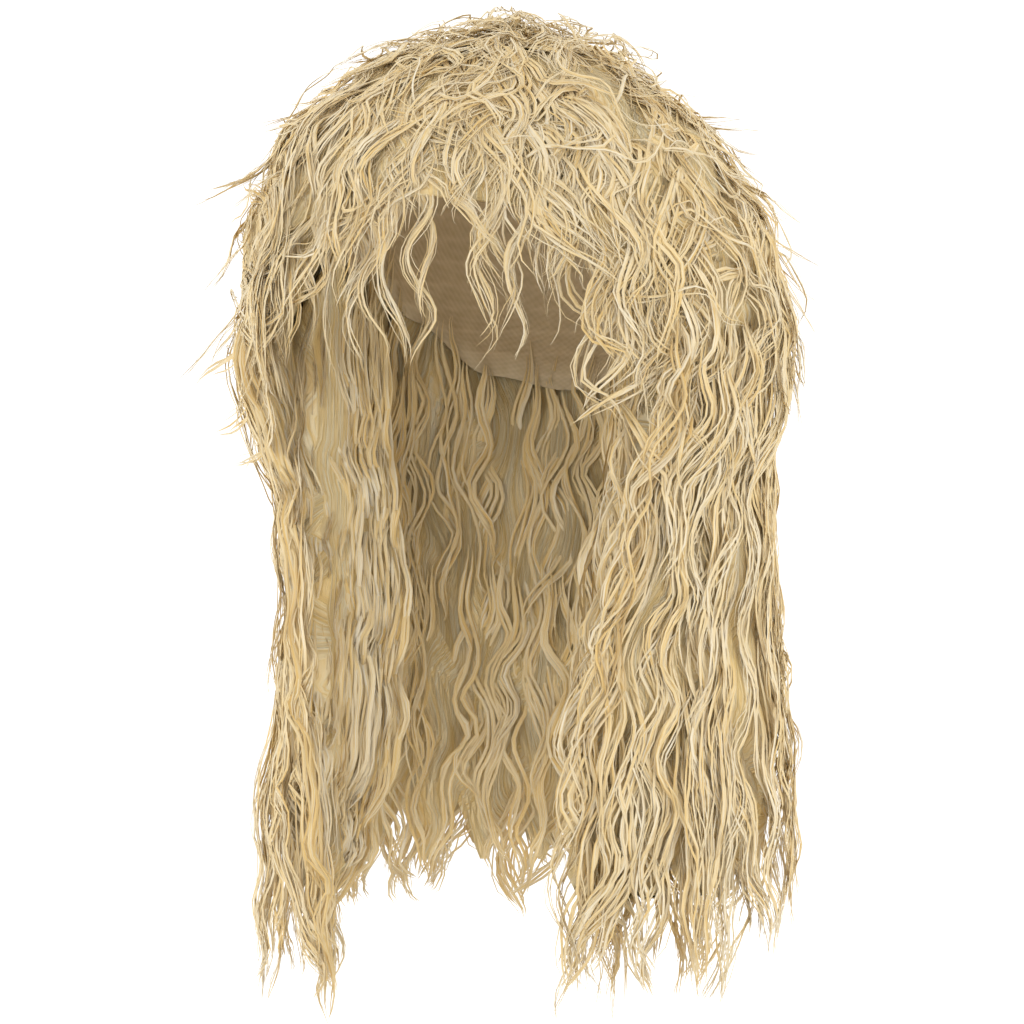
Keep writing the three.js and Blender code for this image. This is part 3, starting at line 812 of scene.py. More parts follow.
def make_fringe_guides(group):
    """Pairs of wavy locks that lie on the dome and hang down over the opening."""
    for tuft in range(FRINGE_TUFTS):
        middle = -45 + 90 * (tuft + rng.uniform(0.15, 0.85)) / FRINGE_TUFTS
        tip = rng.uniform(0.11, 0.158)
        crimp, phase = rng.uniform(0.05, 0.072), rng.uniform(0, 2 * np.pi)
        swing, lean, tone = rng.uniform(0.004, 0.0075), rng.normal(0, 7), rng.uniform(0.35, 1)
        begin = rng.uniform(0.03, 0.09)
        for member in range(2):
            turn = middle + rng.normal(0, 2.2)
            top = shell_run_at(turn, FRINGE_LEAVES)
            share = np.linspace(0, 1, 50)
            ends = tip - abs(rng.normal(0, 0.012)) * (member > 0)
            total = (top - begin) + (ends - FRINGE_LEAVES)
            run = share * total
            on_dome = np.clip(begin + run, 0, top)
            hang = np.clip(run - (top - begin), 0, None)
            out_of_step = phase + rng.normal(0, 0.4)
            grow = np.clip(share * 2, 0, 1)
            sway = swing * np.sin(2 * np.pi * run / crimp + out_of_step) * grow
            lift = 0.6 * swing * np.sin(2 * np.pi * run / crimp * 0.9 + 2 * out_of_step) * grow
            turns = turn + (middle - turn) * share**2 + lean * share + np.degrees(sway / 0.11)
            height = -0.01 * (1 - np.clip(share * 2.5, 0, 1)) - 0.001 + lift
            points, outward = on_shell(turns, on_dome, height)
            points[:, 2] -= hang
            points -= outward * (0.06 * hang)[:, None]
            group.add(points, outward, tone, rng.uniform(0.0016, 0.0034), FINE_STEP)


FLYAWAYS = 160
CURLS = 30


def make_flyaway_guides(groups):
    """Thin stray locks that cross over the others, most of them on top."""
    rows = []
    while len(rows) < FLYAWAYS:
        turn, run = rng.uniform(0, 360), 0.03 + 0.22 * rng.uniform(0, 1) ** 1.3
        if run > 0.11 and from_front(turn) < 62:
            continue
        rows.append(
            {
                "turn": turn,
                "run": run,
                "length": rng.uniform(0.05, 0.11),
                "lean": rng.normal(0, 0.9),
                "swing": rng.uniform(0.6, 1.5),
                "crimp": rng.uniform(0.04, 0.07),
                "phase": rng.uniform(0, 2 * np.pi),
                "hook": rng.normal(0, 0.9),
                "flick": rng.uniform(0.0, 0.01),
                "rise": rng.uniform(0.002, 0.006) + 0.01 * rng.uniform(0, 1) ** 4,
                "sink": 0.008,
                "under": 0.0,
                "tone": rng.uniform(0.5, 1),
            }
        )
    add_short(groups, rows, (0.0012, 0.002), lambda row: "flyaways", FINE_STEP)
    rows = []
    for _ in range(CURLS):
        curl = {
            "turn": rng.uniform(0, 360),
            "run": rng.uniform(0.02, 0.11),
            "length": rng.uniform(0.055, 0.09),
            "lean": rng.normal(0, 1.2),
            "swing": rng.uniform(0.8, 1.4),
            "crimp": rng.uniform(0.05, 0.075),
            "phase": rng.uniform(0, 2 * np.pi),
            "hook": rng.normal(0, 1.5),
            "flick": rng.uniform(-0.004, 0.006),
            "rise": rng.uniform(0.005, 0.014),
            "tone": rng.uniform(0.6, 1),
        }
        rows += tuft_rows(curl, 0.1, 2, sink=0.006, under=0.0)
    add_short(groups, rows, (0.0012, 0.002), lambda row: "flyaways", CURL_STEP)


# Node trees


class Wire:
    """A node's output in an expression. Arithmetic on it adds Math nodes to its tree."""

    def __init__(self, tree, socket):
        self.tree, self.socket = tree, socket

    def math(self, operation, *values):
        return self.tree.node("ShaderNodeMath", {"operation": operation}, dict(enumerate(values)))

    def __add__(self, other):
        return self.math("ADD", self, other)

    def __radd__(self, other):
        return self.math("ADD", other, self)

    def __sub__(self, other):
        return self.math("SUBTRACT", self, other)

    def __rsub__(self, other):
        return self.math("SUBTRACT", other, self)

    def __mul__(self, other):
        return self.math("MULTIPLY", self, other)

    def __rmul__(self, other):
        return self.math("MULTIPLY", other, self)

    def __truediv__(self, other):
        return self.math("DIVIDE", self, other)

    def __rtruediv__(self, other):
        return self.math("DIVIDE", other, self)

    def __pow__(self, other):
        return self.math("POWER", self, other)

    def __rpow__(self, other):
        return self.math("POWER", other, self)

    def floor(self):
        return self.math("FLOOR", self)

    def sine(self):
        return self.math("SINE", self)

    def clamped(self):
        return self.math("MINIMUM", self.math("MAXIMUM", self, 0.0), 1.0)


class Tree:
    """A node tree that is built by calls: node() makes any node and returns its output."""

    def __init__(self, tree):
        self.tree = tree

    def raw(self, kind, settings=None, sockets=None):
        """A node of a type, its settings set first, then values or wires for its sockets."""
        node = self.tree.nodes.new(kind)
        for key, value in (settings or {}).items():
            if key == "ramp":
                for index, (position, color) in enumerate(value):
                    stops = node.color_ramp.elements
                    stop = stops[index] if index < len(stops) else stops.new(position)
                    stop.position, stop.color = position, color
            else:
                setattr(node, key, value)
        for key, value in (sockets or {}).items():
            if isinstance(value, Wire):
                self.tree.links.new(value.socket, node.inputs[key])
            else:
                node.inputs[key].default_value = value
        return node

    def node(self, kind, settings=None, sockets=None, output=0):
        return Wire(self, self.raw(kind, settings, sockets).outputs[output])


def color(r, g, b):
    return (r, g, b, 1.0)


# Strands

LOCK_INPUTS = {
    "Strands": 5,
    "Spread": 1.0,
    "Width": 0.001,
    "Flatness": 0.5,
    "Taper": 0.6,
    "Fullness": 2.2,
    "Trim": 0.2,
    "Twist": 0.5,
    "Crimp": 0.0008,
    "Crimp Length": 0.03,
    "Tone Shift": 0.0,
    "Seed": 1,
}
TRIANGLE_RADIUS = 0.577  # of a triangle with sides of 1, which is a strand's section


def lock_tree():
    """Geometry Nodes that turn each guide into a lock of tapering, crimped strands."""
    group = bpy.data.node_groups.new("lock_of_strands", "GeometryNodeTree")
    interface = group.interface
    interface.new_socket("Geometry", in_out="INPUT", socket_type="NodeSocketGeometry")
    for name, value in LOCK_INPUTS.items():
        kind = "NodeSocketInt" if isinstance(value, int) else "NodeSocketFloat"
        interface.new_socket(name, in_out="INPUT", socket_type=kind).default_value = value
    interface.new_socket("Material", in_out="INPUT", socket_type="NodeSocketMaterial")
    interface.new_socket("Geometry", in_out="OUTPUT", socket_type="NodeSocketGeometry")
    tree = Tree(group)
    entry = tree.raw("NodeGroupInput")
    given = {socket.name: Wire(tree, socket) for socket in entry.outputs if socket.name}

    def stored(name, kind="FLOAT"):
        return tree.node("GeometryNodeInputNamedAttribute", {"data_type": kind}, {"Name": name})

    def store(geometry, name, value, domain="POINT", kind="FLOAT"):
        settings = {"data_type": kind, "domain": domain}
        sockets = {"Geometry": geometry, "Name": name, "Value": value}
        return tree.node("GeometryNodeStoreNamedAttribute", settings, sockets)

    def vector(operation, first, second=None, scale=None):
        sockets = {0: first}
        if second is not None:
            sockets[1] = second
        if scale is not None:
            sockets["Scale"] = scale
        return tree.node("ShaderNodeVectorMath", {"operation": operation}, sockets)

    def per_strand(seed, low=-1.0, high=1.0):
        """A random number that is the same all along a strand."""
        draw = tree.raw("FunctionNodeRandomValue", {"data_type": "FLOAT"})
        inputs = {socket.identifier: socket for socket in draw.inputs}
        inputs["Min_001"].default_value = low
        inputs["Max_001"].default_value = high
        group.links.new((given["Seed"] * 16 + seed).socket, inputs["Seed"])
        kept = {"domain": "CURVE", "data_type": "FLOAT"}
        return tree.node("GeometryNodeFieldOnDomain", kept, {"Value": Wire(tree, draw.outputs[1])})

    curves = tree.node("GeometryNodeMeshToCurve", {}, {"Mesh": given["Geometry"]})
    copies = tree.node(
        "GeometryNodeDuplicateElements",
        {"domain": "SPLINE"},
        {"Geometry": curves, "Amount": given["Strands"]},
    )
    along, run, bulk = stored("along"), stored("run"), stored("bulk")
    outward = stored("outward", "FLOAT_VECTOR")
    across = vector("NORMALIZE", vector("CROSS_PRODUCT", tree.node("GeometryNodeInputTangent"), outward))

    # A lock is fullest in its middle, and its strands meet again near the tip.
    fullness = ((along * 2.9 + 0.16).sine().clamped() ** 0.6) * bulk * given["Spread"]
    sideways = per_strand(1) * fullness
    upward = per_strand(2) * fullness * 0.12
    turns = run / given["Crimp Length"] * (per_strand(3, 4.6, 7.2)) + per_strand(4, 0.0, 6.28)
    crimp = given["Crimp"] * (along * 3.0).clamped()
    moved = vector(
        "ADD",
        vector("SCALE", across, scale=sideways + turns.sine() * crimp),
        vector("SCALE", outward, scale=upward + (turns * 0.83 + 1.3).sine() * crimp),
    )
    laid = tree.node("GeometryNodeSetPosition", {}, {"Geometry": copies, "Offset": moved})
    trimmed = tree.node(
        "GeometryNodeTrimCurve",
        {"mode": "FACTOR"},
        {"Curve": laid, 2: per_strand(5, 0.0, 0.06), 3: 1.0 - per_strand(6, 0.0, 1.0) * given["Trim"]},
    )
    lean = given["Twist"] * (turns * 0.37 + per_strand(9, 0.0, 6.28)).sine()
    facing = vector("ADD", outward, vector("SCALE", across, scale=lean))
    turned = tree.node("GeometryNodeSetCurveNormal", {"mode": "FREE"}, {"Curve": trimmed, "Normal": facing})

    # Shade and place on the strand are kept for the material, as its own map.
    reach = tree.node("GeometryNodeSplineParameter")
    shade = ((stored("tone") * 0.6 + per_strand(7, 0.0, 0.3) + given["Tone Shift"]) * TONES).floor()
    measured = store(store(turned, "shade", shade), "reach", reach)
    to_tip = (1.0 - reach ** given["Fullness"]).clamped() ** given["Taper"]
    taper = (reach * 9.0 + 0.1).clamped() * to_tip + 0.04
    width = given["Width"] * per_strand(8, 0.6, 1.3) * taper * TRIANGLE_RADIUS
    circle = tree.node("GeometryNodeCurvePrimitiveCircle", {}, {"Resolution": 3, "Radius": 1.0})
    squash = tree.node("ShaderNodeCombineXYZ", {}, {"X": given["Flatness"], "Y": 1.0, "Z": 1.0})
    flat = tree.node("GeometryNodeTransform", {}, {"Geometry": circle, "Scale": squash})
    at = tree.node("GeometryNodeInputPosition")
    sides = tree.node("ShaderNodeSeparateXYZ", {}, {"Vector": at}, 1)
    profile = store(flat, "side", sides * TRIANGLE_RADIUS + 0.5)
    mesh = tree.node(
        "GeometryNodeCurveToMesh",
        {},
        {"Curve": measured, "Profile Curve": profile, "Scale": width, "Fill Caps": True},
    )
    column = (stored("shade") + 0.08 + stored("side") * 0.84) / TONES  # with a margin on its sides
    uv = tree.node("ShaderNodeCombineXYZ", {}, {"X": column, "Y": stored("reach")})
    mapped = store(mesh, "OFBake", uv, "CORNER", "FLOAT2")
    from_middle = stored("side") - 0.5
    squared = from_middle * from_middle
    rail = squared.math("GREATER_THAN", squared, 0.2)
    smooth = tree.node("GeometryNodeSetShadeSmooth", {}, {"Geometry": mapped, "Shade Smooth": True})
    rounded = tree.node(
        "GeometryNodeSetShadeSmooth",
        {"domain": "EDGE"},
        {"Geometry": smooth, "Selection": rail, "Shade Smooth": False},
    )
    real = tree.node("GeometryNodeRealizeInstances", {}, {"Geometry": rounded})
    dressed = tree.node("GeometryNodeSetMaterial", {}, {"Geometry": real, "Material": given["Material"]})
    group.links.new(dressed.socket, tree.raw("NodeGroupOutput").inputs[0])
    return group


def plain_mesh(obj, name):
    """Turns an object with modifiers into one plain mesh object."""
    evaluated = obj.evaluated_get(bpy.context.evaluated_depsgraph_get())
    mesh = bpy.data.meshes.new_from_object(evaluated)
    mesh.name = name
    for key in [a.name for a in mesh.attributes if a.name in {"outward", "along", "run", "tone", "bulk"}]:
        mesh.attributes.remove(mesh.attributes[key])
    bpy.data.objects.remove(obj)
    made = bpy.data.objects.new(name, mesh)
    bpy.context.collection.objects.link(made)
    return made


def strands(guides, name, group, material, **inputs):
    """A mesh object of the strands of a set of guides."""
    obj = guides.object(name + "_guides")
    modifier = obj.modifiers.new("strands", "NODES")
    modifier.node_group = group
    sockets = {item.name: item.identifier for item in group.interface.items_tree if item.in_out == "INPUT"}
    for key, value in {**LOCK_INPUTS, **inputs}.items():
        modifier[sockets[key]] = value
    modifier[sockets["Material"]] = material
    return plain_mesh(obj, name)


# Materials


def new_material(name):
    material = bpy.data.materials.new(name)
    material.use_nodes = True
    material.node_tree.nodes.clear()
    return material, Tree(material.node_tree)


def finish_surface(tree, sockets, height, distance, strength=1.0):
    """The shader of a surface with bump."""
    bump = tree.node("ShaderNodeBump", {}, {"Height": height, "Distance": distance, "Strength": strength})
    surface = tree.node("ShaderNodeBsdfPrincipled", {}, {**sockets, "Normal": bump})
    output = tree.raw("ShaderNodeOutputMaterial")
    tree.tree.links.new(surface.socket, output.inputs["Surface"])


# From the deepest strands to the palest, as linear colours
HAIR_RAMP = [
    (0.0, color(0.67, 0.458, 0.175)),
    (0.35, color(0.715, 0.54, 0.268)),
    (0.65, color(0.73, 0.602, 0.378)),
    (1.0, color(0.755, 0.68, 0.53)),
]
UNDER_RAMP = [
    (0.38, color(0.71, 0.5, 0.2)),
    (0.5, color(0.775, 0.6, 0.31)),
    (0.62, color(0.815, 0.71, 0.48)),
]
DULL = {"Specular IOR Level": 0.15}


def strand_material():
    """Hair whose shade comes from each strand's column on its own map."""
    material, tree = new_material("hair_strands")
    uv = tree.node("ShaderNodeUVMap", {"uv_map": "OFBake"}, {})
    split = tree.raw("ShaderNodeSeparateXYZ", {}, {"Vector": uv})
    column, reach = Wire(tree, split.outputs[0]), Wire(tree, split.outputs[1])
    shade = (column * TONES).floor() / TONES
    own = tree.node("ShaderNodeTexWhiteNoise", {"noise_dimensions": "1D"}, {"W": shade * 7.31})
    place_on = tree.node("ShaderNodeCombineXYZ", {}, {"X": column * 66.0, "Y": reach * 3.0})
    fibres = tree.node(
        "ShaderNodeTexNoise",
        {"noise_dimensions": "2D"},
        {"Vector": place_on, "Scale": 1.0, "Detail": 4.0, "Roughness": 0.7},
    )
    level = (shade * 0.45 + own * 0.2 + fibres * 2.8 - 1.22 + (reach - 0.45) * 0.1).clamped()
    base = tree.node("ShaderNodeValToRGB", {"ramp": HAIR_RAMP}, {"Fac": level})
    rough = 0.5 + fibres * 0.16
    finish_surface(tree, {**DULL, "Base Color": base, "Roughness": rough}, fibres, 0.001, 0.5)
    return material


def core_material():
    """The mass under the locks: the same hair in shadow, combed downwards."""
    material, tree = new_material("hair_under")
    flow = tree.node("ShaderNodeUVMap", {"uv_map": "flow"}, {})
    fine, broad = (
        tree.node(
            "ShaderNodeTexNoise",
            {"noise_dimensions": "2D"},
            {
                "Vector": tree.node("ShaderNodeMapping", {}, {"Vector": flow, "Scale": (across, down, 1.0)}),
                "Scale": 1.0,
                "Detail": 3.0,
                "Roughness": 0.65,
            },
        )
        for across, down in ((1200.0, 18.0), (170.0, 9.0))
    )
    level = fine * 0.6 + broad * 0.4
    base = tree.node("ShaderNodeValToRGB", {"ramp": UNDER_RAMP}, {"Fac": level})
    finish_surface(tree, {**DULL, "Base Color": base, "Roughness": 0.6}, fine, 0.002)
    return material


def cap_material():
    """Knitted net with rows of wefts."""
    material, tree = new_material("cap_fabric")
    coordinates = tree.node("ShaderNodeTexCoord", {}, {}, 3)
    split = tree.raw("ShaderNodeSeparateXYZ", {}, {"Vector": coordinates})
    x, y, z = (Wire(tree, split.outputs[k]) for k in range(3))
    rows = ((z * 520.0).sine() * 0.5 + 0.5) ** 6.0
    knit = (x * 1500.0).sine() * (y * 1500.0 + z * 1500.0).sine() * 0.5 + 0.5
    mottle = tree.node("ShaderNodeTexNoise", {}, {"Vector": coordinates, "Scale": 160.0, "Detail": 3.0})
    level = (rows * 0.15 + knit * 0.2 + mottle * 0.6).clamped()
    ramp = [(0.1, color(0.46, 0.35, 0.2)), (0.9, color(0.68, 0.54, 0.34))]
    base = tree.node("ShaderNodeValToRGB", {"ramp": ramp}, {"Fac": level})
    finish_surface(tree, {"Base Color": base, "Roughness": 0.85}, rows * 0.4 + knit * 0.3, 0.0004)
    return material


# Pieces


def on_cap(turn, depth, gap):
    """Radius and depth on the cap's inner form at a depth, a gap outside it."""
    up = np.clip(1 - depth / CAP_WAIST, 0, 1)
    out = np.where(depth < CAP_WAIST, (1 - up**CAP_ROUNDNESS) ** (1 / CAP_ROUNDNESS), 1.0)
    nape = np.clip((depth - CAP_WAIST) / NAPE_DROP, 0, 1)
    radius = cap_radius(turn) * out * (1 - NAPE_NARROWING * nape**2)
    return np.stack([radius + gap * out, depth - gap * up], -1)


# A section of a mass is its outer side, its inner side and how far down the hair its outer
# side starts, or for a curtain the turn of each point.
SEAT_GAP = 0.004  # between the cap's inner form and the masses that sit round it
LAYER_OVERLAP = 0.02  # of the crown over the layers below it
FRINGE_THICKNESS = 0.004


def seat(turn, low, high, count):
    """Points where a mass sits round the cap, from one of its edges there to the other."""
    depths = CAP_WAIST * round_value(turn, low), CAP_WAIST * round_value(turn, high)
    return on_cap(turn, np.linspace(*depths, count), SEAT_GAP)


def crown_section(turn):
    edge = crown_edge(turn) - 0.008
    run = np.linspace(0, edge, 40)
    outer = shell_section(turn, run, -MASS_DEPTH - 0.0028 * np.clip((run - edge) / 0.012 + 1, 0, 1))
    depths = np.linspace(CAP_WAIST * float(round_value(turn, "crown_seat")), 0, 8)
    return outer, on_cap(turn, depths, SEAT_GAP), 0.0


def layer_section(turn):
    top = crown_edge(turn) - LAYER_OVERLAP
    edge = layer_edge(turn) - 0.035
    run = np.linspace(top, edge, 18)
    outer = shell_section(turn, run, -MASS_DEPTH - 0.001 - 0.012 * ((run - top) / (edge - top)) ** 2)
    return outer, seat(turn, "layer_seat", "crown_seat", 5), top


def fringe_section(turn):
    top = crown_edge(turn) - LAYER_OVERLAP
    low = 0.028 + 0.056 * (turn / FRINGE_EDGE) ** 2
    low = low + 0.003 * math.sin(0.6 * turn) + 0.002 * math.sin(1.7 * turn)
    edge = max(shell_run_at(turn, low), top + 0.012)
    run = np.linspace(top, edge, 5)
    outer = shell_section(turn, run, -MASS_DEPTH)
    inner = shell_section(turn, run[::-1], -MASS_DEPTH - FRINGE_THICKNESS)
    return outer, np.concatenate([inner, seat(turn, "layer_seat", "crown_seat", 4)]), top


def long_section(turn_of, tails, free_edges):
    """The section of a curtain of long hair at a share of its width."""

    def section(share):
        top = SHORT_DROP * float(round_value(float(turn_of(share, 0.15)), "edge")) - 0.05
        jag = abs((share * tails) % 1 - 0.5) * 2
        bottom = LONG_DROP * (0.92 - 0.08 * jag)
        depth = np.linspace(top, bottom, 36)
        turn = turn_of(share, depth)
        ending = np.clip((bottom - depth) / 0.09, 0, 1) ** 0.7
        inner, outer = curtain_radii(turn, depth)
        inner, outer = inner + 0.004, outer - 0.0034
        middle = (inner + outer) / 2
        half = np.maximum(outer - inner, 0.008) / 2 * ending + 0.001
        if free_edges:
            from_side = (min(share, 1 - share) - 0.05) * 12
            rounding = math.sqrt(max(0.0, 1 - max(0.0, 1 - from_side) ** 2))
            half = half * (0.15 + 0.85 * rounding)
        seat_turn = float(turn_of(share, 0.1))
        outside = np.stack([middle + half, depth], -1)
        inside = np.stack([middle - half, depth], -1)[::-1]
        inside = np.concatenate([inside, seat(seat_turn, "rim", "layer_seat", 4)])
        set_back = 0.8 * SET_BACK * (1 - share if turn_of is left_turn else -share) if free_edges else 0
        turns = np.concatenate([turn, turn[::-1] + set_back, np.full(4, seat_turn)])
        return outside, inside, turns

    return section


def shell_section(turn, run, height):
    """Radii and depths at lengths along the outline, at a height over it."""
    height = height - TOP_SETTLES * np.clip(1 - run / 0.2, 0, 1)
    points, _ = on_shell(np.full(len(run), turn), run, height)
    return np.stack([np.hypot(points[:, 0], points[:, 1]), -points[:, 2]], -1)


RELIEF = 0.0009  # height of the ridges on a mass
RELIEF_WIDTH = 0.0125
WELD = 2e-5  # closer together than this, points of a mass are one


def mass_rows(turns, sections, width, relief):
    """Each section's points in space and on the map that runs along the hair."""
    positions, flow = [], []
    for turn, (outer, inner, given) in zip(turns, sections):
        loop = np.concatenate([outer, inner])
        along = np.concatenate([[0], np.cumsum(np.hypot(*np.diff(loop, axis=0).T))])
        along = along + outer[0, 1]
        own = given if width else np.full(len(loop), float(turn))
        down = loop[:, 1] if width else along - outer[0, 1] + given
        bend = 0.0048 * np.sin(wave_phase(own, down)) + 0.012 * drift(LEAN_FIELD, own, down)
        across = (turn * width if width else np.radians(own) * DOME_RADIUS) - bend
        ridges = np.sin(2 * np.pi * across / RELIEF_WIDTH + 3 * drift(LEAN_FIELD, own, down))
        finer = 2 * np.pi * across / (0.43 * RELIEF_WIDTH) + 3 * drift(LIFT_FIELD, own, down)
        ridges = (ridges + 0.6 * np.sin(finer)) * np.clip(loop[:, 0] / 0.09, 0, 1)
        outside = np.ones(len(loop))
        outside[len(outer) :] = 0
        outside[0] = 0
        raised = (relief * ridges + (relief > 0) * wave_lift(own, down)) * outside
        positions.append(place(own, loop[:, 0] + raised, loop[:, 1]))
        flow.append(np.stack([across, along], -1))
    return positions, flow


def mass_faces(flow, sections, ring):
    """Quads from row to row, the two ends where there is no ring, and their corners' map."""
    rows, size = len(flow), len(flow[0])
    once_round = np.array([2 * np.pi * DOME_RADIUS, 0])
    faces, corners = [], []
    for row in range(rows if ring else rows - 1):
        after = (row + 1) % rows
        low, high = flow[row], flow[after] + (once_round if after < row else 0)
        for k in range(size):
            nxt = (k + 1) % size
            faces.append((row * size + k, row * size + nxt, after * size + nxt, after * size + k))
            last = low[k] + [0, 0.01], high[k] + [0, 0.01]
            corners.append((low[k], low[nxt] if nxt else last[0], high[nxt] if nxt else last[1], high[k]))
    if not ring:
        for row, order in ((0, 1), (rows - 1, -1)):
            faces.append(tuple(row * size + k for k in range(size))[::order])
            end = np.concatenate(sections[row][:2])
            corners.append(tuple(end[::order]))
    return faces, corners


def mass(name, turns, sections, material, ring=False, width=None, relief=RELIEF):
    """A closed solid of hair through sections round the cap, with wavy relief outside.

    The turns of a curtain of some width are shares of it.
    """
    positions, flow = mass_rows(turns, sections, width, relief)
    faces, corners = mass_faces(flow, sections, ring)
    mesh = bpy.data.meshes.new(name)
    mesh.from_pydata(np.concatenate(positions).tolist(), [], faces)
    uv = mesh.uv_layers.new(name="flow")
    uv.data.foreach_set("uv", np.concatenate([np.array(c) for c in corners]).ravel())
    solid = bmesh.new()
    solid.from_mesh(mesh)
    bmesh.ops.remove_doubles(solid, verts=solid.verts, dist=WELD)
    bmesh.ops.triangulate(solid, faces=[face for face in solid.faces if len(face.verts) > 4])
    bmesh.ops.recalc_face_normals(solid, faces=solid.faces)
    solid.to_mesh(mesh)
    solid.free()
    mesh.materials.append(material)
    mesh.shade_smooth()
    obj = bpy.data.objects.new(name, mesh)
    bpy.context.collection.objects.link(obj)
    return obj


# Shares of a curtain's width between which its mass lies, so that locks wrap its free edge
FREE_SIDES = {"long_hair_left": (0.055, 1.0), "long_hair_right": (0.0, 0.945)}


def make_masses(material):
    """The hair under the locks, one solid for each CAD node of hair."""
    turns = np.arange(0, 360, 1.5)
    crown = mass("crown_hair_mass", turns, [crown_section(t) for t in turns], material, ring=True)
    made = {"crown_hair": crown}
    spans = {
        "side_layer_left": (48.2, 125.8),
        "side_layer_right": (234.2, 311.8),
        "back_layer": (126.2, 233.8),
    }
    for node, (start, end) in spans.items():
        turns = np.linspace(start, end, int((end - start) / 1.1))
        made[node] = mass(node + "_mass", turns, [layer_section(t) for t in turns], material)
    turns = np.linspace(-47.8, 47.8, 70)
    made["fringe"] = mass("fringe_mass", turns, [fringe_section(t) for t in turns], material)
    curtains = {
        "long_hair_left": (left_turn, 5, 0.14),
        "long_hair_right": (right_turn, 5, 0.14),
        "long_hair_back": (back_turn, 9, 0.29),
    }
    for node, (turn_of, tails, width) in curtains.items():
        shares = np.linspace(*FREE_SIDES.get(node, (0.0, 1.0)), 9 * tails + 1)
        section = long_section(turn_of, tails, turn_of is not back_turn)
        sections = [section(share) for share in shares]
        made[node] = mass(node + "_mass", shares, sections, material, width=width)
    return made


def joined(name, parts):
    """One object from several, at the origin."""
    bpy.ops.object.select_all(action="DESELECT")
    for part in parts:
        part.select_set(True)
    bpy.context.view_layer.objects.active = parts[0]
    bpy.ops.object.join()
    whole = bpy.context.view_layer.objects.active
    whole.name = name
    whole.data.name = name
    return whole


def add_piece(name, obj, slot, *nodes):
    """Names a piece, hides the CAD nodes it replaces, and puts it on the one body."""
    obj.name = name
    if nodes:
        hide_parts(*nodes)
    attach(obj, "root")


# Each piece of hair, with the guides that it takes
HAIR_PIECES = {
    "crown_locks_front": ["crown_front", "edge_front"],
    "crown_locks_left": ["crown_left"],
    "crown_locks_right": ["crown_right"],
    "crown_locks_back": ["crown_back"],
    "crown_flyaways": ["flyaways"],
    "loose_front_locks": ["loose"],
    "fringe_locks": ["fringe"],
    "side_layer_left_locks": ["layer_left", "edge_left"],
    "side_layer_right_locks": ["layer_right", "edge_right"],
    "back_layer_locks": ["layer_back", "edge_back"],
    "long_hair_left_locks": ["long_left", "free_left", "inner_left"],
    "long_hair_right_locks": ["long_right", "free_right", "inner_right"],
    "long_hair_back_locks": ["long_back", "inner_back"],
}
# What each lock is made of: ribbons of hair, and finer strands over them
RIBBON = {
    "Strands": 3,
    "Spread": 1.2,
    "Width": 0.0014,
    "Flatness": 0.4,
    "Fullness": 3.0,
    "Twist": 0.2,
    "Crimp": 0.0007,
}
FINE = {"Strands": 2, "Spread": 1.6, "Width": 0.0008, "Tone Shift": 0.14, "Crimp": 0.001}
BROAD = {**RIBBON, "Spread": 1.0, "Width": 0.002, "Flatness": 0.3}
LONG = {"Fullness": 6.0, "Trim": 0.04}
# By group, or by the first word of its name. Other groups take RIBBON and FINE.
KINDS = {
    "long": [{**RIBBON, **LONG, "Width": 0.0017}, {**FINE, **LONG}],
    "long_back": [{**RIBBON, **LONG, "Width": 0.0017}, {**FINE, **LONG, "Strands": 1}],
    "free": [{**BROAD, **LONG}, {**FINE, **LONG, "Strands": 1}],
    "inner": [{**BROAD, **LONG}],
    "layer_back": [RIBBON, {**FINE, "Strands": 1}],
    "loose": [{**RIBBON, **LONG, "Strands": 2, "Width": 0.0018}, {**FINE, **LONG, "Strands": 3}],
    "edge": [BROAD, FINE],
    "edge_front": [{**RIBBON, "Width": 0.0016}, FINE],
    "fringe": [
        {**RIBBON, "Strands": 2, "Width": 0.0019, "Tone Shift": 0.05},
        {**FINE, "Strands": 3},
    ],
    "flyaways": [
        {"Strands": 1, "Width": 0.0015, "Flatness": 0.5, "Spread": 0.0, "Tone Shift": 0.2},
        {"Strands": 1, "Width": 0.0008, "Spread": 3.0, "Tone Shift": 0.2},
    ],
}


def kinds_of(group):
    """What the locks of a group are made of."""
    return KINDS.get(group) or KINDS.get(group.split("_")[0]) or [RIBBON, FINE]


def make_hair():
    """The locks and the masses under them, each piece with its own seeds."""
    names = {name for groups in HAIR_PIECES.values() for name in groups}
    groups = {name: Guides() for name in sorted(names)}
    make_short_guides(groups)
    make_edge_guides(groups)
    make_long_guides(groups)
    make_loose_guides(groups)
    make_fringe_guides(groups["fringe"])
    make_flyaway_guides(groups)
    tree = lock_tree()
    hair, under = strand_material(), core_material()
    seed = 0
    for name, taken in HAIR_PIECES.items():
        parts = []
        for group in taken:
            for kind in kinds_of(group):
                seed += 1
                parts.append(strands(groups[group], f"{group}_{seed}", tree, hair, **{**kind, "Seed": seed}))
        add_piece(name, joined(name, parts), "hair")
    for node, piece in make_masses(under).items():
        add_piece(piece.name, piece, "hair", node)


CAP_WALL = 0.0016


def cap_section(turn):
    rim = CAP_WAIST * float(round_value(turn, "rim"))
    lean = np.linspace(0, 1, 16)
    down = rim * lean**1.6
    return on_cap(turn, down, CAP_WALL), on_cap(turn, down[::-1], 0.0), 0.0


def make_cap():
    """The fabric cap, a hollow shell from its rim up to the top and down again inside."""
    turns = np.arange(0, 360, 4.0)
    sections = [cap_section(turn) for turn in turns]
    return mass("wig_cap_fabric", turns, sections, cap_material(), ring=True, relief=0.0)


# Stage, lights and camera


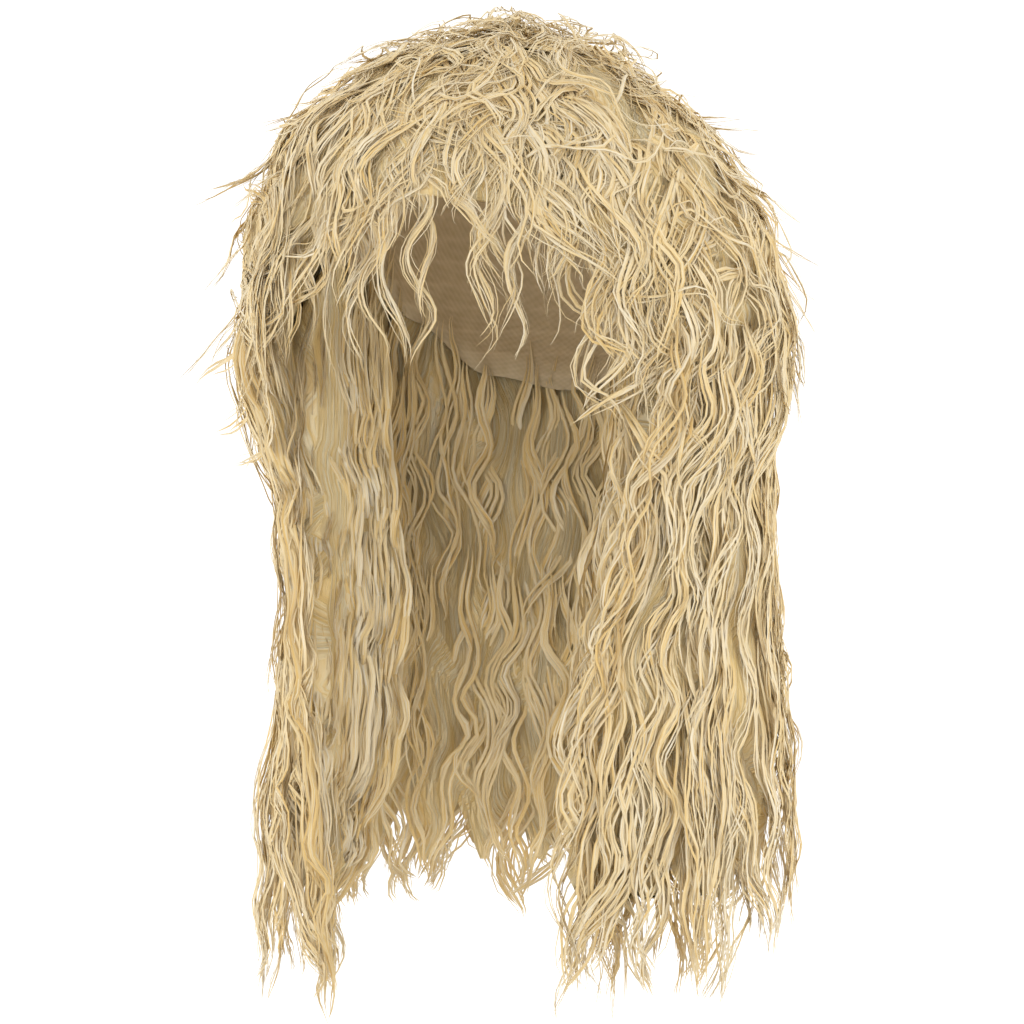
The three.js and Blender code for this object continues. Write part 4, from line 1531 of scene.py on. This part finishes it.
def plain_material(name, value, roughness=0.9):
    material, tree = new_material(name)
    surface = tree.node("ShaderNodeBsdfPrincipled", {}, {"Base Color": color(*value), "Roughness": roughness})
    tree.tree.links.new(surface.socket, tree.raw("ShaderNodeOutputMaterial").inputs["Surface"])
    return material


FLOOR_DROP = 0.62
FLOOR_HALF = 6.0
SURROUND = 1.26  # strength of the white surround


def make_stage():
    """A plain pale floor and an even white surround."""
    mesh = bpy.data.meshes.new("floor")
    sides = ((-1, -1), (1, -1), (1, 1), (-1, 1))
    corners = [(x * FLOOR_HALF, y * FLOOR_HALF, -FLOOR_DROP) for x, y in sides]
    mesh.from_pydata(corners, [], [(0, 1, 2, 3)])
    mesh.materials.append(plain_material("floor_white", (0.95, 0.95, 0.95)))
    floor = bpy.data.objects.new("floor", mesh)
    bpy.context.collection.objects.link(floor)
    world = bpy.data.worlds.new("studio")
    bpy.context.scene.world = world
    bpy.context.scene.view_settings.view_transform = "Standard"
    world.use_nodes = True
    sky = world.node_tree.nodes["Background"].inputs
    sky["Color"].default_value = color(1.0, 1.0, 1.0)
    sky["Strength"].default_value = SURROUND


# Each light: degrees round from the front, degrees up, its size and its power
LIGHTS = {
    "front": (12, 14, 1.5, 5),
    "left": (108, 14, 1.4, 7),
    "right": (-84, 14, 1.4, 8),
    "back": (192, 14, 1.5, 5),
    "top": (190, 70, 1.6, 1),
}
LIGHT_DISTANCE = 2.3
LIGHT_TARGET = np.array([0.0, 0.0, -0.2])


def add_light(name, azimuth, elevation, size, power):
    """A round soft light that looks at the middle of the wig."""
    light = bpy.data.lights.new(name, "AREA")
    light.shape = "DISK"
    light.size = size
    light.energy = power
    obj = bpy.data.objects.new(name, light)
    bpy.context.collection.objects.link(obj)
    a, e = math.radians(azimuth), math.radians(elevation)
    towards = np.array([math.sin(a) * math.cos(e), -math.cos(a) * math.cos(e), math.sin(e)])
    obj.location = LIGHT_TARGET + LIGHT_DISTANCE * towards
    look_at(obj, LIGHT_TARGET)


def look_at(obj, target):
    direction = Vector(target) - Vector(obj.location)
    obj.rotation_euler = direction.to_track_quat("-Z", "Y").to_euler()


CAMERA_AZIMUTH = 23.0
CAMERA_DISTANCE = 2.0
CAMERA_TARGET = (0.002, 0.0, -0.214)
FRAME_WIDTH = 0.52  # of what the picture shows, at the target
SENSOR_MM = 36.0


def make_camera():
    camera = bpy.data.cameras.new("camera")
    camera.sensor_width = SENSOR_MM
    camera.lens = SENSOR_MM * CAMERA_DISTANCE / FRAME_WIDTH
    obj = bpy.data.objects.new("camera", camera)
    bpy.context.collection.objects.link(obj)
    a = math.radians(CAMERA_AZIMUTH)
    x, y, z = CAMERA_TARGET
    obj.location = (x + CAMERA_DISTANCE * math.sin(a), y - CAMERA_DISTANCE * math.cos(a), z)
    look_at(obj, CAMERA_TARGET)
    bpy.context.scene.camera = obj


make_camera()
make_stage()
for light_name, values in LIGHTS.items():
    add_light(light_name, *values)
make_hair()
add_piece("wig_cap_fabric", make_cap(), "cap", "wig_cap")
